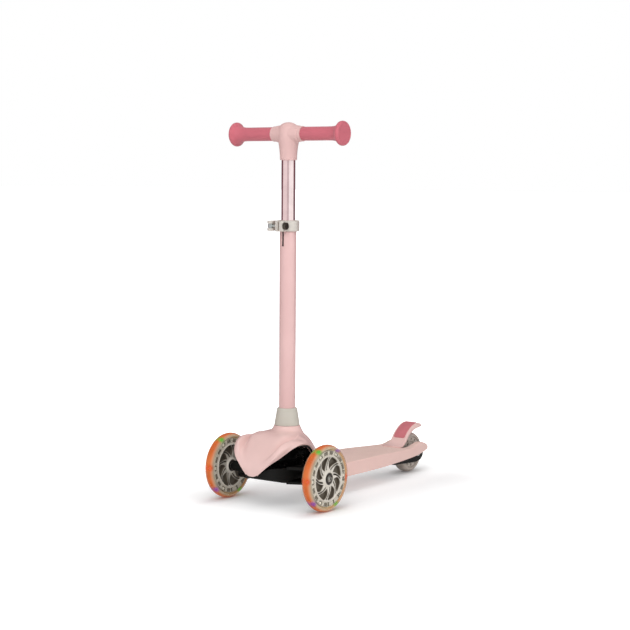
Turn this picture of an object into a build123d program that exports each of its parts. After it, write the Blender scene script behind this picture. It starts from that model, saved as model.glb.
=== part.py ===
from build123d import *
import math
import os

# ---------------------------------------------------------------------------
# Children's three-wheel kick scooter, lean-to-steer, height adjustable T bar.
# Millimetres. +X forward, +Y to the rider's left, +Z up, ground at Z = 0,
# origin in the middle of the bounding box's bottom.
# ---------------------------------------------------------------------------

# wheels and wheelbase
R_FRONT = 60.0            # front wheel radius
R_REAR = 40.0             # rear wheel radius
W_TYRE = 24.0             # tyre width, all wheels
TRACK = 221.0             # between the front wheel mid planes
WHEELBASE = 434.0
XF = 201.0                # front axle
XR = XF - WHEELBASE       # rear axle
YW = TRACK / 2            # front wheel mid plane

# stem
XS = XF - 33.0            # stem axis
R_OUT = 15.0              # outer tube radius
R_OUT_IN = 12.65          # its bore
R_INN = 12.5              # inner tube radius
Z_TUBE_LOW = 97.0
Z_TUBE_TOP = 494.0
Z_INN_LOW = 360.0
Z_BAR = 669.0             # handlebar axis
Z_TEE = 622.0             # underside of the T piece
SLOT_W = 3.2
SLOT_Z = 469.0

# handlebar
R_BAR = 11.0
Y_TEE = 33.0
Y_BAR = 119.0
R_GRIP = 12.8
R_FLANGE = 22.0
Y_GRIP = 123.5

# lean mechanism
Z_LEAN = 82.0             # lean axis, along X
Z_TIE = 58.0              # tie rod height
ARM = 20.0                # knuckle arm length
Y_KING = 75.0             # kingpin
R_KING = 4.0
Z_AXLE = R_FRONT
FIT = 0.05                # radial running clearance

# deck
Z_DECK = 61.0
HW_DECK = 52.0
X_DECK_FRONT = XF - 97.0
WALL = 4.0
HW_SLOT = 24.0            # wheel slot half width
X_SLOT = XF - 381.0
Z_FORK = 51.2             # top of the rear fork's block

# brake fender
X_HINGE = XF - 388.0
Z_HINGE = 48.7
Z_SEAT = 56.75            # deck under the brake's foot
HW_FENDER = 17.5
HW_PAD = 13.4

os.makedirs("parts", exist_ok=True)


def yz(x):
    """Plane across the scooter at x: local x is +Y, local y is +Z, normal is +X."""
    return Plane(origin=(x, 0, 0), x_dir=(0, 1, 0), z_dir=(1, 0, 0))


def xz(y):
    """Plane along the scooter at y: local x is +X, local y is +Z, normal is -Y."""
    return Plane(origin=(0, y, 0), x_dir=(1, 0, 0), z_dir=(0, -1, 0))


def xy(z):
    return Plane(origin=(0, 0, z), x_dir=(1, 0, 0), z_dir=(0, 0, 1))


def along_y(x, y, z):
    """Plane whose normal is +Y, for round bars across the scooter."""
    return Plane(origin=(x, y, z), x_dir=(1, 0, 0), z_dir=(0, 1, 0))


def along_x(x, y, z):
    return Plane(origin=(x, y, z), x_dir=(0, 1, 0), z_dir=(1, 0, 0))


def up_at(x, y, z):
    return Plane(origin=(x, y, z), x_dir=(1, 0, 0), z_dir=(0, 0, 1))


WHEEL_AXIS = Axis((XF, 0, Z_AXLE), (0, 1, 0))
REAR_AXIS = Axis((XR, 0, R_REAR), (0, 1, 0))
BAR_AXIS = Axis((XS, 0, Z_BAR), (0, 1, 0))
STEM_AXIS = Axis((XS, 0, 0), (0, 0, 1))
MIDDLE = Axis((XF, 0, 0), (0, 0, 1))


# ---------------------------------------------------------------------------
# front wheels (left one built, right one is the same part turned half round)
# ---------------------------------------------------------------------------
R_RIM = 42.0
R_CORE = 50.0
H_CORE = 8.0
H_WEB = 1.0               # half thickness of the web behind the openings
with BuildPart() as left_tyre:
    with BuildSketch(yz(XF)):
        with BuildLine():
            Polyline(
                (YW + 9.5, Z_AXLE + R_RIM), (YW + H_CORE, Z_AXLE + R_RIM),
                (YW + H_CORE, Z_AXLE + R_CORE), (YW - H_CORE, Z_AXLE + R_CORE),
                (YW - H_CORE, Z_AXLE + R_RIM), (YW - 9.5, Z_AXLE + R_RIM),
                (YW - 12.0, Z_AXLE + 46.0), (YW - 12.0, Z_AXLE + 51.0),
            )
            Spline(
                (YW - 12.0, Z_AXLE + 51.0), (YW - 10.6, Z_AXLE + 55.4),
                (YW - 6.6, Z_AXLE + 58.7), (YW, Z_AXLE + R_FRONT),
                (YW + 6.6, Z_AXLE + 58.7), (YW + 10.6, Z_AXLE + 55.4),
                (YW + 12.0, Z_AXLE + 51.0),
                tangents=((0, 1), (0, -1)),
            )
            Polyline(
                (YW + 12.0, Z_AXLE + 51.0), (YW + 12.0, Z_AXLE + 46.0),
                (YW + 9.5, Z_AXLE + R_RIM),
            )
        make_face()
    revolve(axis=WHEEL_AXIS)

N_BLADE = 8
SWEEP = 38.0


def swirl(r, start):
    """Point of the swirl line that starts at the given angle, seen from outside."""
    a = math.radians(start - SWEEP * (r - 13.0) / 25.0)
    return r * math.cos(a), r * math.sin(a)


def window(start):
    """Closed outline of one teardrop opening between two blades."""
    side_a, side_b = [], []
    for r, half in ((17.0, 0.8), (21.0, 4.2), (26.0, 8.6), (31.0, 11.8), (35.4, 12.8)):
        a = math.degrees(half / r)
        side_a.append(swirl(r, start - a))
        side_b.append(swirl(r, start + a * 0.42))
    return side_a, side_b


wheel_face = Plane(origin=(XF, 0, Z_AXLE), x_dir=(-1, 0, 0), z_dir=(0, 1, 0))
with BuildPart() as left_hub:
    with BuildSketch(yz(XF)):
        with BuildLine():
            Polyline(
                (YW - 9.6, Z_AXLE + 11.0), (YW - 9.6, Z_AXLE + 14.5),
                (YW - 7.0, Z_AXLE + 16.0), (YW - 7.0, Z_AXLE + 37.0),
                (YW - 9.2, Z_AXLE + 38.2), (YW - 9.2, Z_AXLE + R_RIM - 0.05),
                (YW - H_CORE + 0.05, Z_AXLE + R_RIM - 0.05), (YW - H_CORE + 0.05, Z_AXLE + R_CORE - 0.05),
                (YW + H_CORE - 0.05, Z_AXLE + R_CORE - 0.05), (YW + H_CORE - 0.05, Z_AXLE + R_RIM - 0.05),
                (YW + 9.2, Z_AXLE + R_RIM - 0.05), (YW + 9.2, Z_AXLE + 38.2),
                (YW + 7.0, Z_AXLE + 37.0), (YW + 7.6, Z_AXLE + 16.0),
                (YW + 9.6, Z_AXLE + 14.0), (YW + 9.6, Z_AXLE + 11.0),
                close=True,
            )
        make_face()
    revolve(axis=WHEEL_AXIS)
    # teardrop openings and slits
    with BuildSketch(wheel_face.offset(YW + H_WEB), wheel_face.offset(YW - H_WEB - 11.0)):
        for k in range(N_BLADE):
            side_a, side_b = window(360.0 / N_BLADE * k)
            with BuildLine():
                Spline(*side_a)
                ThreePointArc(side_a[-1], swirl(36.6, 360.0 / N_BLADE * k - 6.0), side_b[-1])
                Spline(*side_b[::-1])
                Line(side_b[0], side_a[0])
            make_face()
        for k in range(N_BLADE):
            s = 360.0 / N_BLADE * (k + 0.5) - 6.5
            pts_a = [swirl(r, s - 60.0 / r) for r in (18.0, 23.0, 29.0, 35.0)]
            pts_b = [swirl(r, s + 60.0 / r) for r in (35.0, 29.0, 23.0, 18.0)]
            with BuildLine():
                Spline(*pts_a)
                Line(pts_a[-1], pts_b[0])
                Spline(*pts_b)
                Line(pts_b[-1], pts_a[0])
            make_face()
    extrude(amount=11.0, mode=Mode.SUBTRACT)
    # windows in the buried rim
    with BuildSketch(wheel_face.offset(YW - 12)):
        with PolarLocations(46.6, 18):
            Rectangle(4.4, 7.6)
    extrude(amount=24, mode=Mode.SUBTRACT)

with BuildPart() as left_leds:
    with BuildSketch(wheel_face.offset(YW - 7.2)):
        with PolarLocations(46.3, 6):
            Rectangle(3.8, 5.0)
    extrude(amount=14.4)

with BuildPart() as left_bearings:
    for y0 in (YW - 9.5, YW + 2.5):
        with BuildSketch(along_y(XF, y0, Z_AXLE)):
            Circle(10.98)
            Circle(R_KING, mode=Mode.SUBTRACT)
        extrude(amount=7.0)
    for y0 in (YW - 9.5, YW + 9.1):
        with BuildSketch(along_y(XF, y0, Z_AXLE)):
            Circle(9.2)
            Circle(6.2, mode=Mode.SUBTRACT)
        extrude(amount=0.4, mode=Mode.SUBTRACT)

with BuildPart() as left_magnet_sleeve:
    with BuildSketch(along_y(XF, YW - 2.1, Z_AXLE)):
        Circle(8.5)
        Circle(R_KING, mode=Mode.SUBTRACT)
    extrude(amount=4.2)

with BuildPart() as left_axle_bolt:
    with BuildSketch(along_y(XF, Y_KING + 9.5, Z_AXLE)):
        Circle(R_KING - FIT)
    extrude(amount=YW + 10.2 - Y_KING - 9.5)
    with BuildSketch(along_y(XF, YW + 9.9, Z_AXLE)):
        Circle(5.9)
    extrude(amount=1.4)
    with BuildSketch(along_y(XF, YW + 11.3, Z_AXLE)):
        Circle(4.9)
    extrude(amount=3.2)
    fillet(left_axle_bolt.faces().sort_by(Axis.Y)[-1].edges(), radius=1.0)
    with BuildSketch(along_y(XF, YW + 14.5, Z_AXLE)):
        RegularPolygon(2.5, 6)
    extrude(amount=-2.2, mode=Mode.SUBTRACT)

# steering knuckle: barrel on the kingpin, stub for the axle, trailing arm
with BuildPart() as left_knuckle:
    with BuildSketch(up_at(XF, Y_KING, 49.4)):
        Circle(9.0)
    extrude(amount=21.2)
    with BuildSketch(along_y(XF, Y_KING, Z_AXLE)):
        Circle(9.5)
    extrude(amount=19.5)
    with BuildSketch(along_y(XF, Y_KING + 19.5, Z_AXLE)):
        Circle(6.3)
    extrude(amount=YW - 9.85 - Y_KING - 19.5)
    with BuildSketch(xy(62.6)):
        with BuildLine():
            Polyline((XF, Y_KING + 7), (XF - ARM, Y_KING + 5.5), (XF - ARM, Y_KING - 5.5), (XF, Y_KING - 7), close=True)
        make_face()
    extrude(amount=5.2)
    with BuildSketch(up_at(XF - ARM, Y_KING, 62.6)):
        Circle(5.5)
    extrude(amount=5.2)
    with BuildSketch(up_at(XF, Y_KING, 40)):
        Circle(R_KING)
    extrude(amount=40, mode=Mode.SUBTRACT)
    with BuildSketch(along_y(XF, Y_KING + 9.4, Z_AXLE)):
        Circle(R_KING - FIT + 0.02)
    extrude(amount=30, mode=Mode.SUBTRACT)
    with BuildSketch(up_at(XF - ARM, Y_KING, 60)):
        Circle(2.52)
    extrude(amount=10, mode=Mode.SUBTRACT)

with BuildPart() as left_tie_pin:
    with BuildSketch(up_at(XF - ARM, Y_KING, 53.0)):
        Circle(2.5)
    extrude(amount=15.0)
    with BuildSketch(up_at(XF - ARM, Y_KING, 51.6)):
        Circle(4.4)
    extrude(amount=1.6)
    with BuildSketch(up_at(XF - ARM, Y_KING, 67.85)):
        Circle(4.0)
    extrude(amount=1.4)

right_parts = {}
for name, piece in (
    ("tyre", left_tyre), ("hub", left_hub), ("leds", left_leds), ("bearings", left_bearings),
    ("magnet_sleeve", left_magnet_sleeve), ("axle_bolt", left_axle_bolt),
):
    with BuildPart() as turned:
        add(piece.part.rotate(MIDDLE, 180))
    right_parts[name] = turned
for name, piece in (("knuckle", left_knuckle), ("tie_pin", left_tie_pin)):
    with BuildPart() as turned:
        add(piece.part.mirror(Plane.XZ))
    right_parts[name] = turned

with BuildPart() as tie_rod:
    with BuildSketch(xy(Z_TIE - 3.5)):
        with BuildLine():
            Polyline((XF - ARM + 4.2, Y_KING), (XF - ARM + 4.2, -Y_KING), (XF - ARM - 4.2, -Y_KING), (XF - ARM - 4.2, Y_KING), close=True)
        make_face()
        with Locations((XF - ARM, Y_KING), (XF - ARM, -Y_KING)):
            Circle(6.0)
        with Locations((XF - ARM, 0)):
            Circle(8.5)
    extrude(amount=7.0)
    with BuildSketch(xy(Z_TIE - 6)):
        with Locations((XF - ARM, 0)):
            Circle(4.2)
        with Locations((XF - ARM + 0.2, Y_KING), (XF - ARM + 0.2, -Y_KING)):
            SlotCenterToCenter(1.2, 5.3)
    extrude(amount=12, mode=Mode.SUBTRACT)

with BuildPart() as kingpins:
    for side in (1, -1):
        with BuildSketch(up_at(XF, side * Y_KING, 43.6)):
            Circle(R_KING - FIT)
        extrude(amount=34.0)
        with BuildSketch(up_at(XF, side * Y_KING, 42.2)):
            Circle(6.6)
        extrude(amount=1.6)
        with BuildSketch(up_at(XF, side * Y_KING, 76.2)):
            RegularPolygon(6.4, 6)
        extrude(amount=4.2)

# ---------------------------------------------------------------------------
# front carrier: fixed black housing under the nose
# ---------------------------------------------------------------------------
with BuildPart() as front_carrier:
    with BuildSketch(xy(45.0)):
        with BuildLine():
            Polyline((XF - 96.5, 0), (XF - 96.5, 50.0), (XF - 20, 52.0))
            Spline((XF - 20, 52.0), (XF + 8, 50.5), (XF + 30, 43.0), (XF + 48, 30.0), (XF + 58.5, 15.0), (XF + 61.5, 0))
            Spline((XF + 61.5, 0), (XF + 58.5, -15.0), (XF + 48, -30.0), (XF + 30, -43.0), (XF + 8, -50.5), (XF - 20, -52.0))
            Polyline((XF - 20, -52.0), (XF - 96.5, -50.0), (XF - 96.5, 0))
        make_face()
    extrude(amount=29.0)
    with BuildSketch(xz(0)):
        with BuildLine():
            Polyline(
                (XF - 96.5, 45), (XF + 10, 45), (XF + 32, 48), (XF + 50, 52.5), (XF + 62, 57), (XF + 62, 68), (XF + 50, 74),
                (XF - 46, 74), (XF - 58, 62), (XF - 96.5, 58.0), close=True,
            )
        make_face()
    extrude(amount=80, both=True, mode=Mode.INTERSECT)
    # sides drawn up like a hull
    with BuildSketch(yz(XF - 100)):
        with BuildLine():
            Polyline((-38, 45), (38, 45), (53, 53), (53, 80), (-53, 80), (-53, 53), close=True)
        make_face()
    extrude(amount=170, mode=Mode.INTERSECT)
    # tongue under the deck
    with BuildSketch(xy(42.0)):
        with Locations((XF - 123.5, 0)):
            Rectangle(66, 86)
    extrude(amount=14.5)
    # bearing towers for the lean bolt
    for x0, x1 in ((32.0, 44.0), (-83.0, -70.0)):
        with BuildSketch(yz(XF + x0)):
            with BuildLine():
                Polyline((26, 60), (-26, 60), (-10.5, Z_LEAN), (10.5, Z_LEAN), close=True)
            make_face()
            with Locations((0, Z_LEAN)):
                Circle(10.5)
        extrude(amount=x1 - x0)
    # arms that hold the kingpins
    for z0 in (45.0, 71.0):
        with BuildSketch(xy(z0)):
            with BuildLine():
                Polyline((XF - 24, 46), (XF - 9.6, Y_KING), (XF + 9.6, Y_KING), (XF + 26, 44), close=True)
            make_face()
            with Locations((XF, Y_KING)):
                Circle(10.0)
            mirror(about=Plane.XZ)
        extrude(amount=4.0 if z0 < 60 else 5.0)
    # inner well
    with BuildSketch(xy(50.0)):
        with Locations((XF - 22.5, 0)):
            Rectangle(95, 88)
        with Locations((XF + 28.4, 0)):
            Rectangle(7.2, 76)
    extrude(amount=60, mode=Mode.SUBTRACT)
    # spring shelves
    for side in (1, -1):
        with BuildSketch(xy(49.5)):
            with Locations((XF - 39.5, side * 32.0)):
                Rectangle(19, 26)
        extrude(amount=18.5)
        with BuildSketch(xy(63.2)):
            with Locations((XF - 33, side * 32.0)):
                Rectangle(32, 26)
        extrude(amount=4.8)
        with BuildSketch(up_at(XF - 33, side * 30, 67.0)):
            Circle(3.4)
        extrude(amount=4.0)
    # tie rod openings in the side walls
    with BuildSketch(xz(0)):
        with Locations((XF - ARM, Z_TIE)):
            Rectangle(14.0, 9.6)
    extrude(amount=58, both=True, mode=Mode.SUBTRACT)
    # room for the knuckle arms beside the walls
    with BuildSketch(yz(XF - 72)):
        with Locations((0, Z_LEAN)):
            Circle(5.02)
    extrude(amount=130, both=True, mode=Mode.SUBTRACT)
    with BuildSketch(xy(40.0)):
        with Locations((XF, Y_KING), (XF, -Y_KING)):
            Circle(R_KING)
    extrude(amount=50, mode=Mode.SUBTRACT)
    # pockets in the nose of the housing, from below
    with BuildSketch(xy(40.0)):
        with Locations((XF + 40, 12.5), (XF + 40, -12.5)):
            Rectangle(14, 18)
        with Locations((XF - 84, 26), (XF - 84, -26)):
            Rectangle(14, 34)
    extrude(amount=22, mode=Mode.SUBTRACT)
    # screw holes into the deck
    with BuildSketch(xy(30.0)):
        with Locations(*[(XF - x, y) for x in (108, 146) for y in (30, -30)]):
            Circle(2.6)
    extrude(amount=40, mode=Mode.SUBTRACT)

with BuildPart() as lean_pivot_bolt:
    with BuildSketch(along_x(XF - 91.5, 0, Z_LEAN)):
        Circle(5.0 - FIT)
    extrude(amount=135.7)
    with BuildSketch(along_x(XF + 44.1, 0, Z_LEAN)):
        RegularPolygon(9.0, 6)
    extrude(amount=6.0)

with BuildPart() as lean_pivot_nut:
    with BuildSketch(along_x(XF - 90.1, 0, Z_LEAN)):
        RegularPolygon(9.0, 6)
        Circle(5.0, mode=Mode.SUBTRACT)
    extrude(amount=7.0)

# ---------------------------------------------------------------------------
# steering block: leans on the bolt, carries the stem
# ---------------------------------------------------------------------------
with BuildPart() as steering_block:
    with BuildSketch(along_x(XF - 69.6, 0, Z_LEAN)):
        Circle(10.0)
    extrude(amount=101.2)
    with BuildSketch(up_at(XS, 0, Z_LEAN)):
        Circle(21.0)
    extrude(amount=78.0)
    with BuildSketch(xy(94.0)):
        with BuildLine():
            FilletPolyline((XS - 11.5, 43), (XS + 17, 43), (XS + 17, -43), (XS - 11.5, -43), radius=5, close=True)
        make_face()
    extrude(amount=6.0)
    # finger that drives the tie rod
    with BuildSketch(xy(66.0)):
        with Locations((XF - ARM, 0)):
            Rectangle(9, 11)
    extrude(amount=12.0)
    with BuildSketch(up_at(XF - ARM, 0, Z_TIE)):
        Circle(2.8)
    extrude(amount=10.0)
    with BuildSketch(Plane(origin=(XF - ARM, 0, Z_TIE), x_dir=(1, 0, 0), z_dir=(0, -1, 0))):
        Circle(4.0)
        with Locations((-5, 0)):
            Rectangle(10, 20, mode=Mode.SUBTRACT)
    revolve(axis=Axis((XF - ARM, 0, 0), (0, 0, 1)))
    # spring pegs
    for side in (1, -1):
        with BuildSketch(up_at(XS, side * 30, 90.0)):
            Circle(3.4)
        extrude(amount=4.2)
    with BuildSketch(up_at(XS, 0, Z_TUBE_LOW)):
        Circle(R_OUT + 0.03)
    extrude(amount=80, mode=Mode.SUBTRACT)
    with BuildSketch(along_x(XF - 80, 0, Z_LEAN)):
        Circle(5.0)
    extrude(amount=120, mode=Mode.SUBTRACT)
    with BuildSketch(along_y(XS, -30, 107.0)):
        Circle(3.03)
    extrude(amount=60, mode=Mode.SUBTRACT)
    with BuildSketch(xy(90)):
        with Locations(*[(XS + dx, y) for dx in (-6, 10) for y in (38.8, -38.8)]):
            Circle(1.9)
    extrude(amount=20, mode=Mode.SUBTRACT)

with BuildPart() as stem_bolt:
    with BuildSketch(along_y(XS, -25.0, 107.0)):
        Circle(3.0)
    extrude(amount=46.05)
    with BuildSketch(along_y(XS, 21.05, 107.0)):
        RegularPolygon(5.6, 6)
    extrude(amount=4.0)

with BuildPart() as stem_nut:
    with BuildSketch(along_y(XS, -24.6, 107.0)):
        RegularPolygon(5.6, 6)
        Circle(3.0, mode=Mode.SUBTRACT)
    extrude(amount=3.55)


def coil(x, y, z0, z1, radius, wire, turns):
    """Compression spring with its ends resting on the two seats."""
    pitch = (z1 - z0 - 2 * wire) / turns
    with BuildPart() as spring:
        with BuildLine() as path:
            Helix(pitch=pitch, height=pitch * turns, radius=radius, center=(x, y, z0 + wire))
        with BuildSketch(Plane(origin=path.line @ 0, z_dir=path.line % 0)):
            Circle(wire)
        sweep(is_frenet=True)
    return spring


lean_spring_left = coil(XS, 30, 68.05, 93.95, 5.2, 1.3, 6)
lean_spring_right = coil(XS, -30, 68.05, 93.95, 5.2, 1.3, 6)

# ---------------------------------------------------------------------------
# nose shell: rows from the rear edge to the tip, (x, z) on the middle line and
# (x, y, z) on the edge of the wheel arch, x from the front axle
# ---------------------------------------------------------------------------
NOSE_ROWS = (
    (-104.0, 80.0, -86.0, 48.0, 80.0),
    (-97.0, 92.0, -70.0, 53.0, 82.0),
    (-87.0, 108.0, -54.0, 58.0, 85.0),
    (-73.0, 124.0, -39.0, 63.0, 92.0),
    (-54.0, 135.0, -26.0, 67.5, 102.0),
    (-33.0, 139.5, -13.0, 70.0, 112.5),
    (-10.0, 139.0, 1.0, 71.0, 118.0),
    (12.0, 134.0, 15.0, 69.0, 118.0),
    (30.0, 125.0, 30.0, 64.0, 112.5),
    (45.5, 112.0, 44.0, 56.5, 103.0),
    (57.5, 98.5, 55.0, 48.0, 93.5),
    (65.5, 86.0, 62.5, 39.0, 86.0),
    (69.6, 75.5, 67.0, 30.0, 78.0),
    (71.4, 67.0, 69.4, 21.0, 70.0),
    (71.8, 60.5, 70.6, 13.0, 62.5),
)
KNEE = 0.25
COLS = 12


def fall(t):
    """Share of the drop from the middle line to the edge at share t of the half width."""
    return (math.sqrt(1 + (t / KNEE) ** 2) - 1) / (math.sqrt(1 + 1 / KNEE ** 2) - 1)


def nose_grid(reach=1.0):
    grid = []
    for xc, zc, xe, ye, ze in NOSE_ROWS:
        row = []
        for j in range(-COLS, COLS + 1):
            t = abs(j) / COLS * reach
            s = 1 if j >= 0 else -1
            row.append((XF + xc + (xe - xc) * t * t, s * ye * t, zc + (ze - zc) * fall(t)))
        grid.append(row)
    return grid


def inward(grid, depth):
    """The same net moved inwards along its normals."""
    moved = []
    n, m = len(grid), len(grid[0])
    for i in range(n):
        row = []
        for j in range(m):
            a = grid[min(i + 1, n - 1)][j]
            b = grid[max(i - 1, 0)][j]
            c = grid[i][min(j + 1, m - 1)]
            d = grid[i][max(j - 1, 0)]
            u = Vector(*a) - Vector(*b)
            v = Vector(*c) - Vector(*d)
            w = u.cross(v).normalized()
            p = Vector(*grid[i][j]) - w * depth
            row.append((p.X, p.Y, p.Z))
        moved.append(row)
    return moved


SHELL = 3.2
shell_net = nose_grid()
shell_face = Face.make_surface_from_array_of_points(shell_net, tol=0.05, min_deg=3, max_deg=5)
NOSE_BOSSES = [(XS + dx, y) for dx in (-6, 10) for y in (38.8, -38.8)]

with BuildPart() as nose_shell:
    thicken(shell_face, amount=-SHELL)
    with BuildSketch(xz(0)):
        with BuildLine():
            Polyline((XS + 21.4, 141.5), (XS + 23.5, 141.5))
            Spline((XS + 23.5, 141.5), (XS + 25.2, 137.5), (XS + 28.6, 130.0), (XS + 32.5, 119.0))
            Polyline((XS + 32.5, 119.0), (XS + 29.0, 116.0), (XS + 21.4, 116.0), (XS + 21.4, 141.5))
        make_face()
    revolve(axis=STEM_AXIS)
    for x, y in NOSE_BOSSES:
        with BuildSketch(up_at(x, y, 100.05)):
            Circle(4.4)
        extrude(amount=25.4 if x > XS else 17.4)
    with BuildSketch(xy(70)):
        with Locations((XS, 0)):
            Circle(21.4)
    extrude(amount=80, mode=Mode.SUBTRACT)
    with BuildSketch(xy(95)):
        with Locations(*NOSE_BOSSES):
            Circle(1.5)
    extrude(amount=16, mode=Mode.SUBTRACT)

liner_net = inward(nose_grid(1.012), SHELL + 1.3)[5:-1]
liner_face = Face.make_surface_from_array_of_points(liner_net, tol=0.05, min_deg=3, max_deg=5)
with BuildPart() as nose_liner:
    thicken(liner_face, amount=-2.2)
    with BuildSketch(xy(60)):
        with Locations((XS, 0)):
            Circle(38.0)
        with Locations(*NOSE_BOSSES):
            Circle(5.4)
    extrude(amount=90, mode=Mode.SUBTRACT)

with BuildPart() as nose_screws:
    for x, y in NOSE_BOSSES:
        with BuildSketch(up_at(x, y, 92.0)):
            Circle(3.1)
        extrude(amount=2.0)
        with BuildSketch(up_at(x, y, 93.9)):
            Circle(1.45)
        extrude(amount=16.0)

# ---------------------------------------------------------------------------
# stem
# ---------------------------------------------------------------------------
with BuildPart() as stem_collar:
    with BuildSketch(xz(0)):
        with BuildLine():
            Polyline(
                (XS + 21.05, 141.7), (XS + 23.0, 141.7), (XS + 22.9, 143.5), (XS + 18.3, 168.0),
            )
            ThreePointArc((XS + 18.3, 168.0), (XS + 17.6, 169.4), (XS + 16.2, 170.0))
            Polyline(
                (XS + 16.2, 170.0), (XS + 15.05, 170.0), (XS + 15.05, 160.1), (XS + 18.4, 160.1), (XS + 21.05, 146.0), (XS + 21.05, 141.7),
            )
        make_face()
    revolve(axis=STEM_AXIS)
    # the block's upper end is turned down to sit inside the collar
with BuildPart() as steering_column_cut:
    with BuildSketch(xz(0)):
        with BuildLine():
            Polyline((XS + 20.9, 145.9), (XS + 30, 145.9), (XS + 30, 165), (XS + 18.2, 165), (XS + 18.2, 160.0), close=True)
        make_face()
    revolve(axis=STEM_AXIS)
with BuildPart() as steering_block_turned:
    add(steering_block.part)
    add(steering_column_cut.part, mode=Mode.SUBTRACT)
steering_block = steering_block_turned

with BuildPart() as outer_tube:
    with BuildSketch(up_at(XS, 0, Z_TUBE_LOW + 0.1)):
        Circle(R_OUT)
        Circle(R_OUT_IN, mode=Mode.SUBTRACT)
    extrude(amount=Z_TUBE_TOP + 18.0 - Z_TUBE_LOW - 0.1)
    # clamping slot
    with BuildSketch(yz(XS)):
        with Locations((0, (SLOT_Z + 520) / 2)):
            Rectangle(SLOT_W, 520 - SLOT_Z)
        with Locations((0, SLOT_Z)):
            Circle(SLOT_W / 2 + 0.6)
    extrude(amount=20, mode=Mode.SUBTRACT)
    with BuildSketch(along_y(XS, -30, 107.0)):
        Circle(3.03)
    extrude(amount=60, mode=Mode.SUBTRACT)

X_EAR = XS + 23.5
Z_CLAMP = 504.0
with BuildPart() as clamp_ring:
    with BuildSketch(xy(494.0)):
        with Locations((XS, 0)):
            Circle(20.5)
        with Locations((XS + 22, 0)):
            Rectangle(14.0, 19.0)
        with Locations((XS, 0)):
            Circle(R_OUT + 0.03, mode=Mode.SUBTRACT)
        with Locations((XS + 22, 0)):
            Rectangle(20, 3.0, mode=Mode.SUBTRACT)
    extrude(amount=20.0)
    edges = clamp_ring.faces().sort_by(Axis.Z)[-1].edges() + clamp_ring.faces().sort_by(Axis.Z)[0].edges()
    chamfer([e for e in edges if e.center().X > XS - 25 and e.length > 3.2], length=0.6)
    with BuildSketch(along_y(X_EAR, -20, Z_CLAMP)):
        Circle(3.05)
    extrude(amount=40, mode=Mode.SUBTRACT)
    # spot face for the nut
    with BuildSketch(along_y(X_EAR, 9.5, Z_CLAMP)):
        Circle(7.2)
    extrude(amount=14, mode=Mode.SUBTRACT)
    # inner lip that sits on the tube's end
    with BuildSketch(xy(512.1)):
        with Locations((XS, 0)):
            Circle(R_OUT + 0.5)
            Circle(R_INN + 0.08, mode=Mode.SUBTRACT)
        with Locations((XS + 15, 0)):
            Rectangle(10, 3.0, mode=Mode.SUBTRACT)
    extrude(amount=1.9)

Y_PIN = -21.5
with BuildPart() as clamp_bolt:
    with BuildSketch(along_y(X_EAR, Y_PIN, Z_CLAMP)):
        Circle(3.0)
    extrude(amount=14.5 - Y_PIN)
    with BuildSketch(up_at(X_EAR, Y_PIN, Z_CLAMP - 3.6)):
        Circle(5.0)
    extrude(amount=7.2)
    with BuildSketch(up_at(X_EAR, Y_PIN, Z_CLAMP - 6)):
        Circle(2.55)
    extrude(amount=12, mode=Mode.SUBTRACT)

with BuildPart() as clamp_nut:
    with BuildSketch(along_y(X_EAR, 9.55, Z_CLAMP)):
        Circle(6.6)
    extrude(amount=5.6)
    fillet(clamp_nut.faces().sort_by(Axis.Y)[-1].edges(), radius=1.0)
    with BuildSketch(along_y(X_EAR, 9.0, Z_CLAMP)):
        Circle(3.0)
    extrude(amount=5.6, mode=Mode.SUBTRACT)
    with BuildSketch(along_y(X_EAR, 15.2, Z_CLAMP)):
        RegularPolygon(3.2, 6)
    extrude(amount=-0.5, mode=Mode.SUBTRACT)

with BuildPart() as clamp_lever:
    with BuildSketch(xy(Z_CLAMP - 8.0)):
        with Locations((X_EAR, Y_PIN)):
            Circle(6.2)
        with BuildLine():
            Spline((X_EAR + 2.0, Y_PIN - 6.0), (X_EAR - 12, Y_PIN - 6.6), (XS - 6, Y_PIN - 6.2), (XS - 22, Y_PIN - 2.4))
            ThreePointArc((XS - 22, Y_PIN - 2.4), (XS - 24.4, Y_PIN + 0.2), (XS - 21.4, Y_PIN + 1.6))
            Spline((XS - 21.4, Y_PIN + 1.6), (XS - 8, Y_PIN - 2.0), (X_EAR - 12, Y_PIN - 1.4), (X_EAR - 3.6, Y_PIN + 3.0))
            Line((X_EAR - 3.6, Y_PIN + 3.0), (X_EAR + 2.0, Y_PIN - 6.0))
        make_face()
    extrude(amount=16.0)
    fillet([e for e in clamp_lever.edges() if abs(e.center().Z - Z_CLAMP) > 7.9 and e.length > 15 and e.center().X < X_EAR - 4], radius=1.2)
    # fork for the bolt's eye
    with BuildSketch(xy(Z_CLAMP - 4.0)):
        with Locations((X_EAR, Y_PIN)):
            Circle(6.9)
        with Locations((X_EAR + 1.2, Y_PIN + 6)):
            Rectangle(12, 12)
    extrude(amount=8.0, mode=Mode.SUBTRACT)
    with BuildSketch(xy(Z_CLAMP - 10)):
        with Locations((X_EAR, Y_PIN)):
            Circle(2.55)
    extrude(amount=20, mode=Mode.SUBTRACT)

with BuildPart() as clamp_lever_pin:
    with BuildSketch(up_at(X_EAR, Y_PIN, Z_CLAMP - 8.4)):
        Circle(2.5)
    extrude(amount=16.8)

with BuildPart() as inner_tube:
    with BuildSketch(up_at(XS, 0, Z_INN_LOW)):
        Circle(R_INN)
        Circle(R_INN - 1.5, mode=Mode.SUBTRACT)
    extrude(amount=655.0 - Z_INN_LOW)

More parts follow.
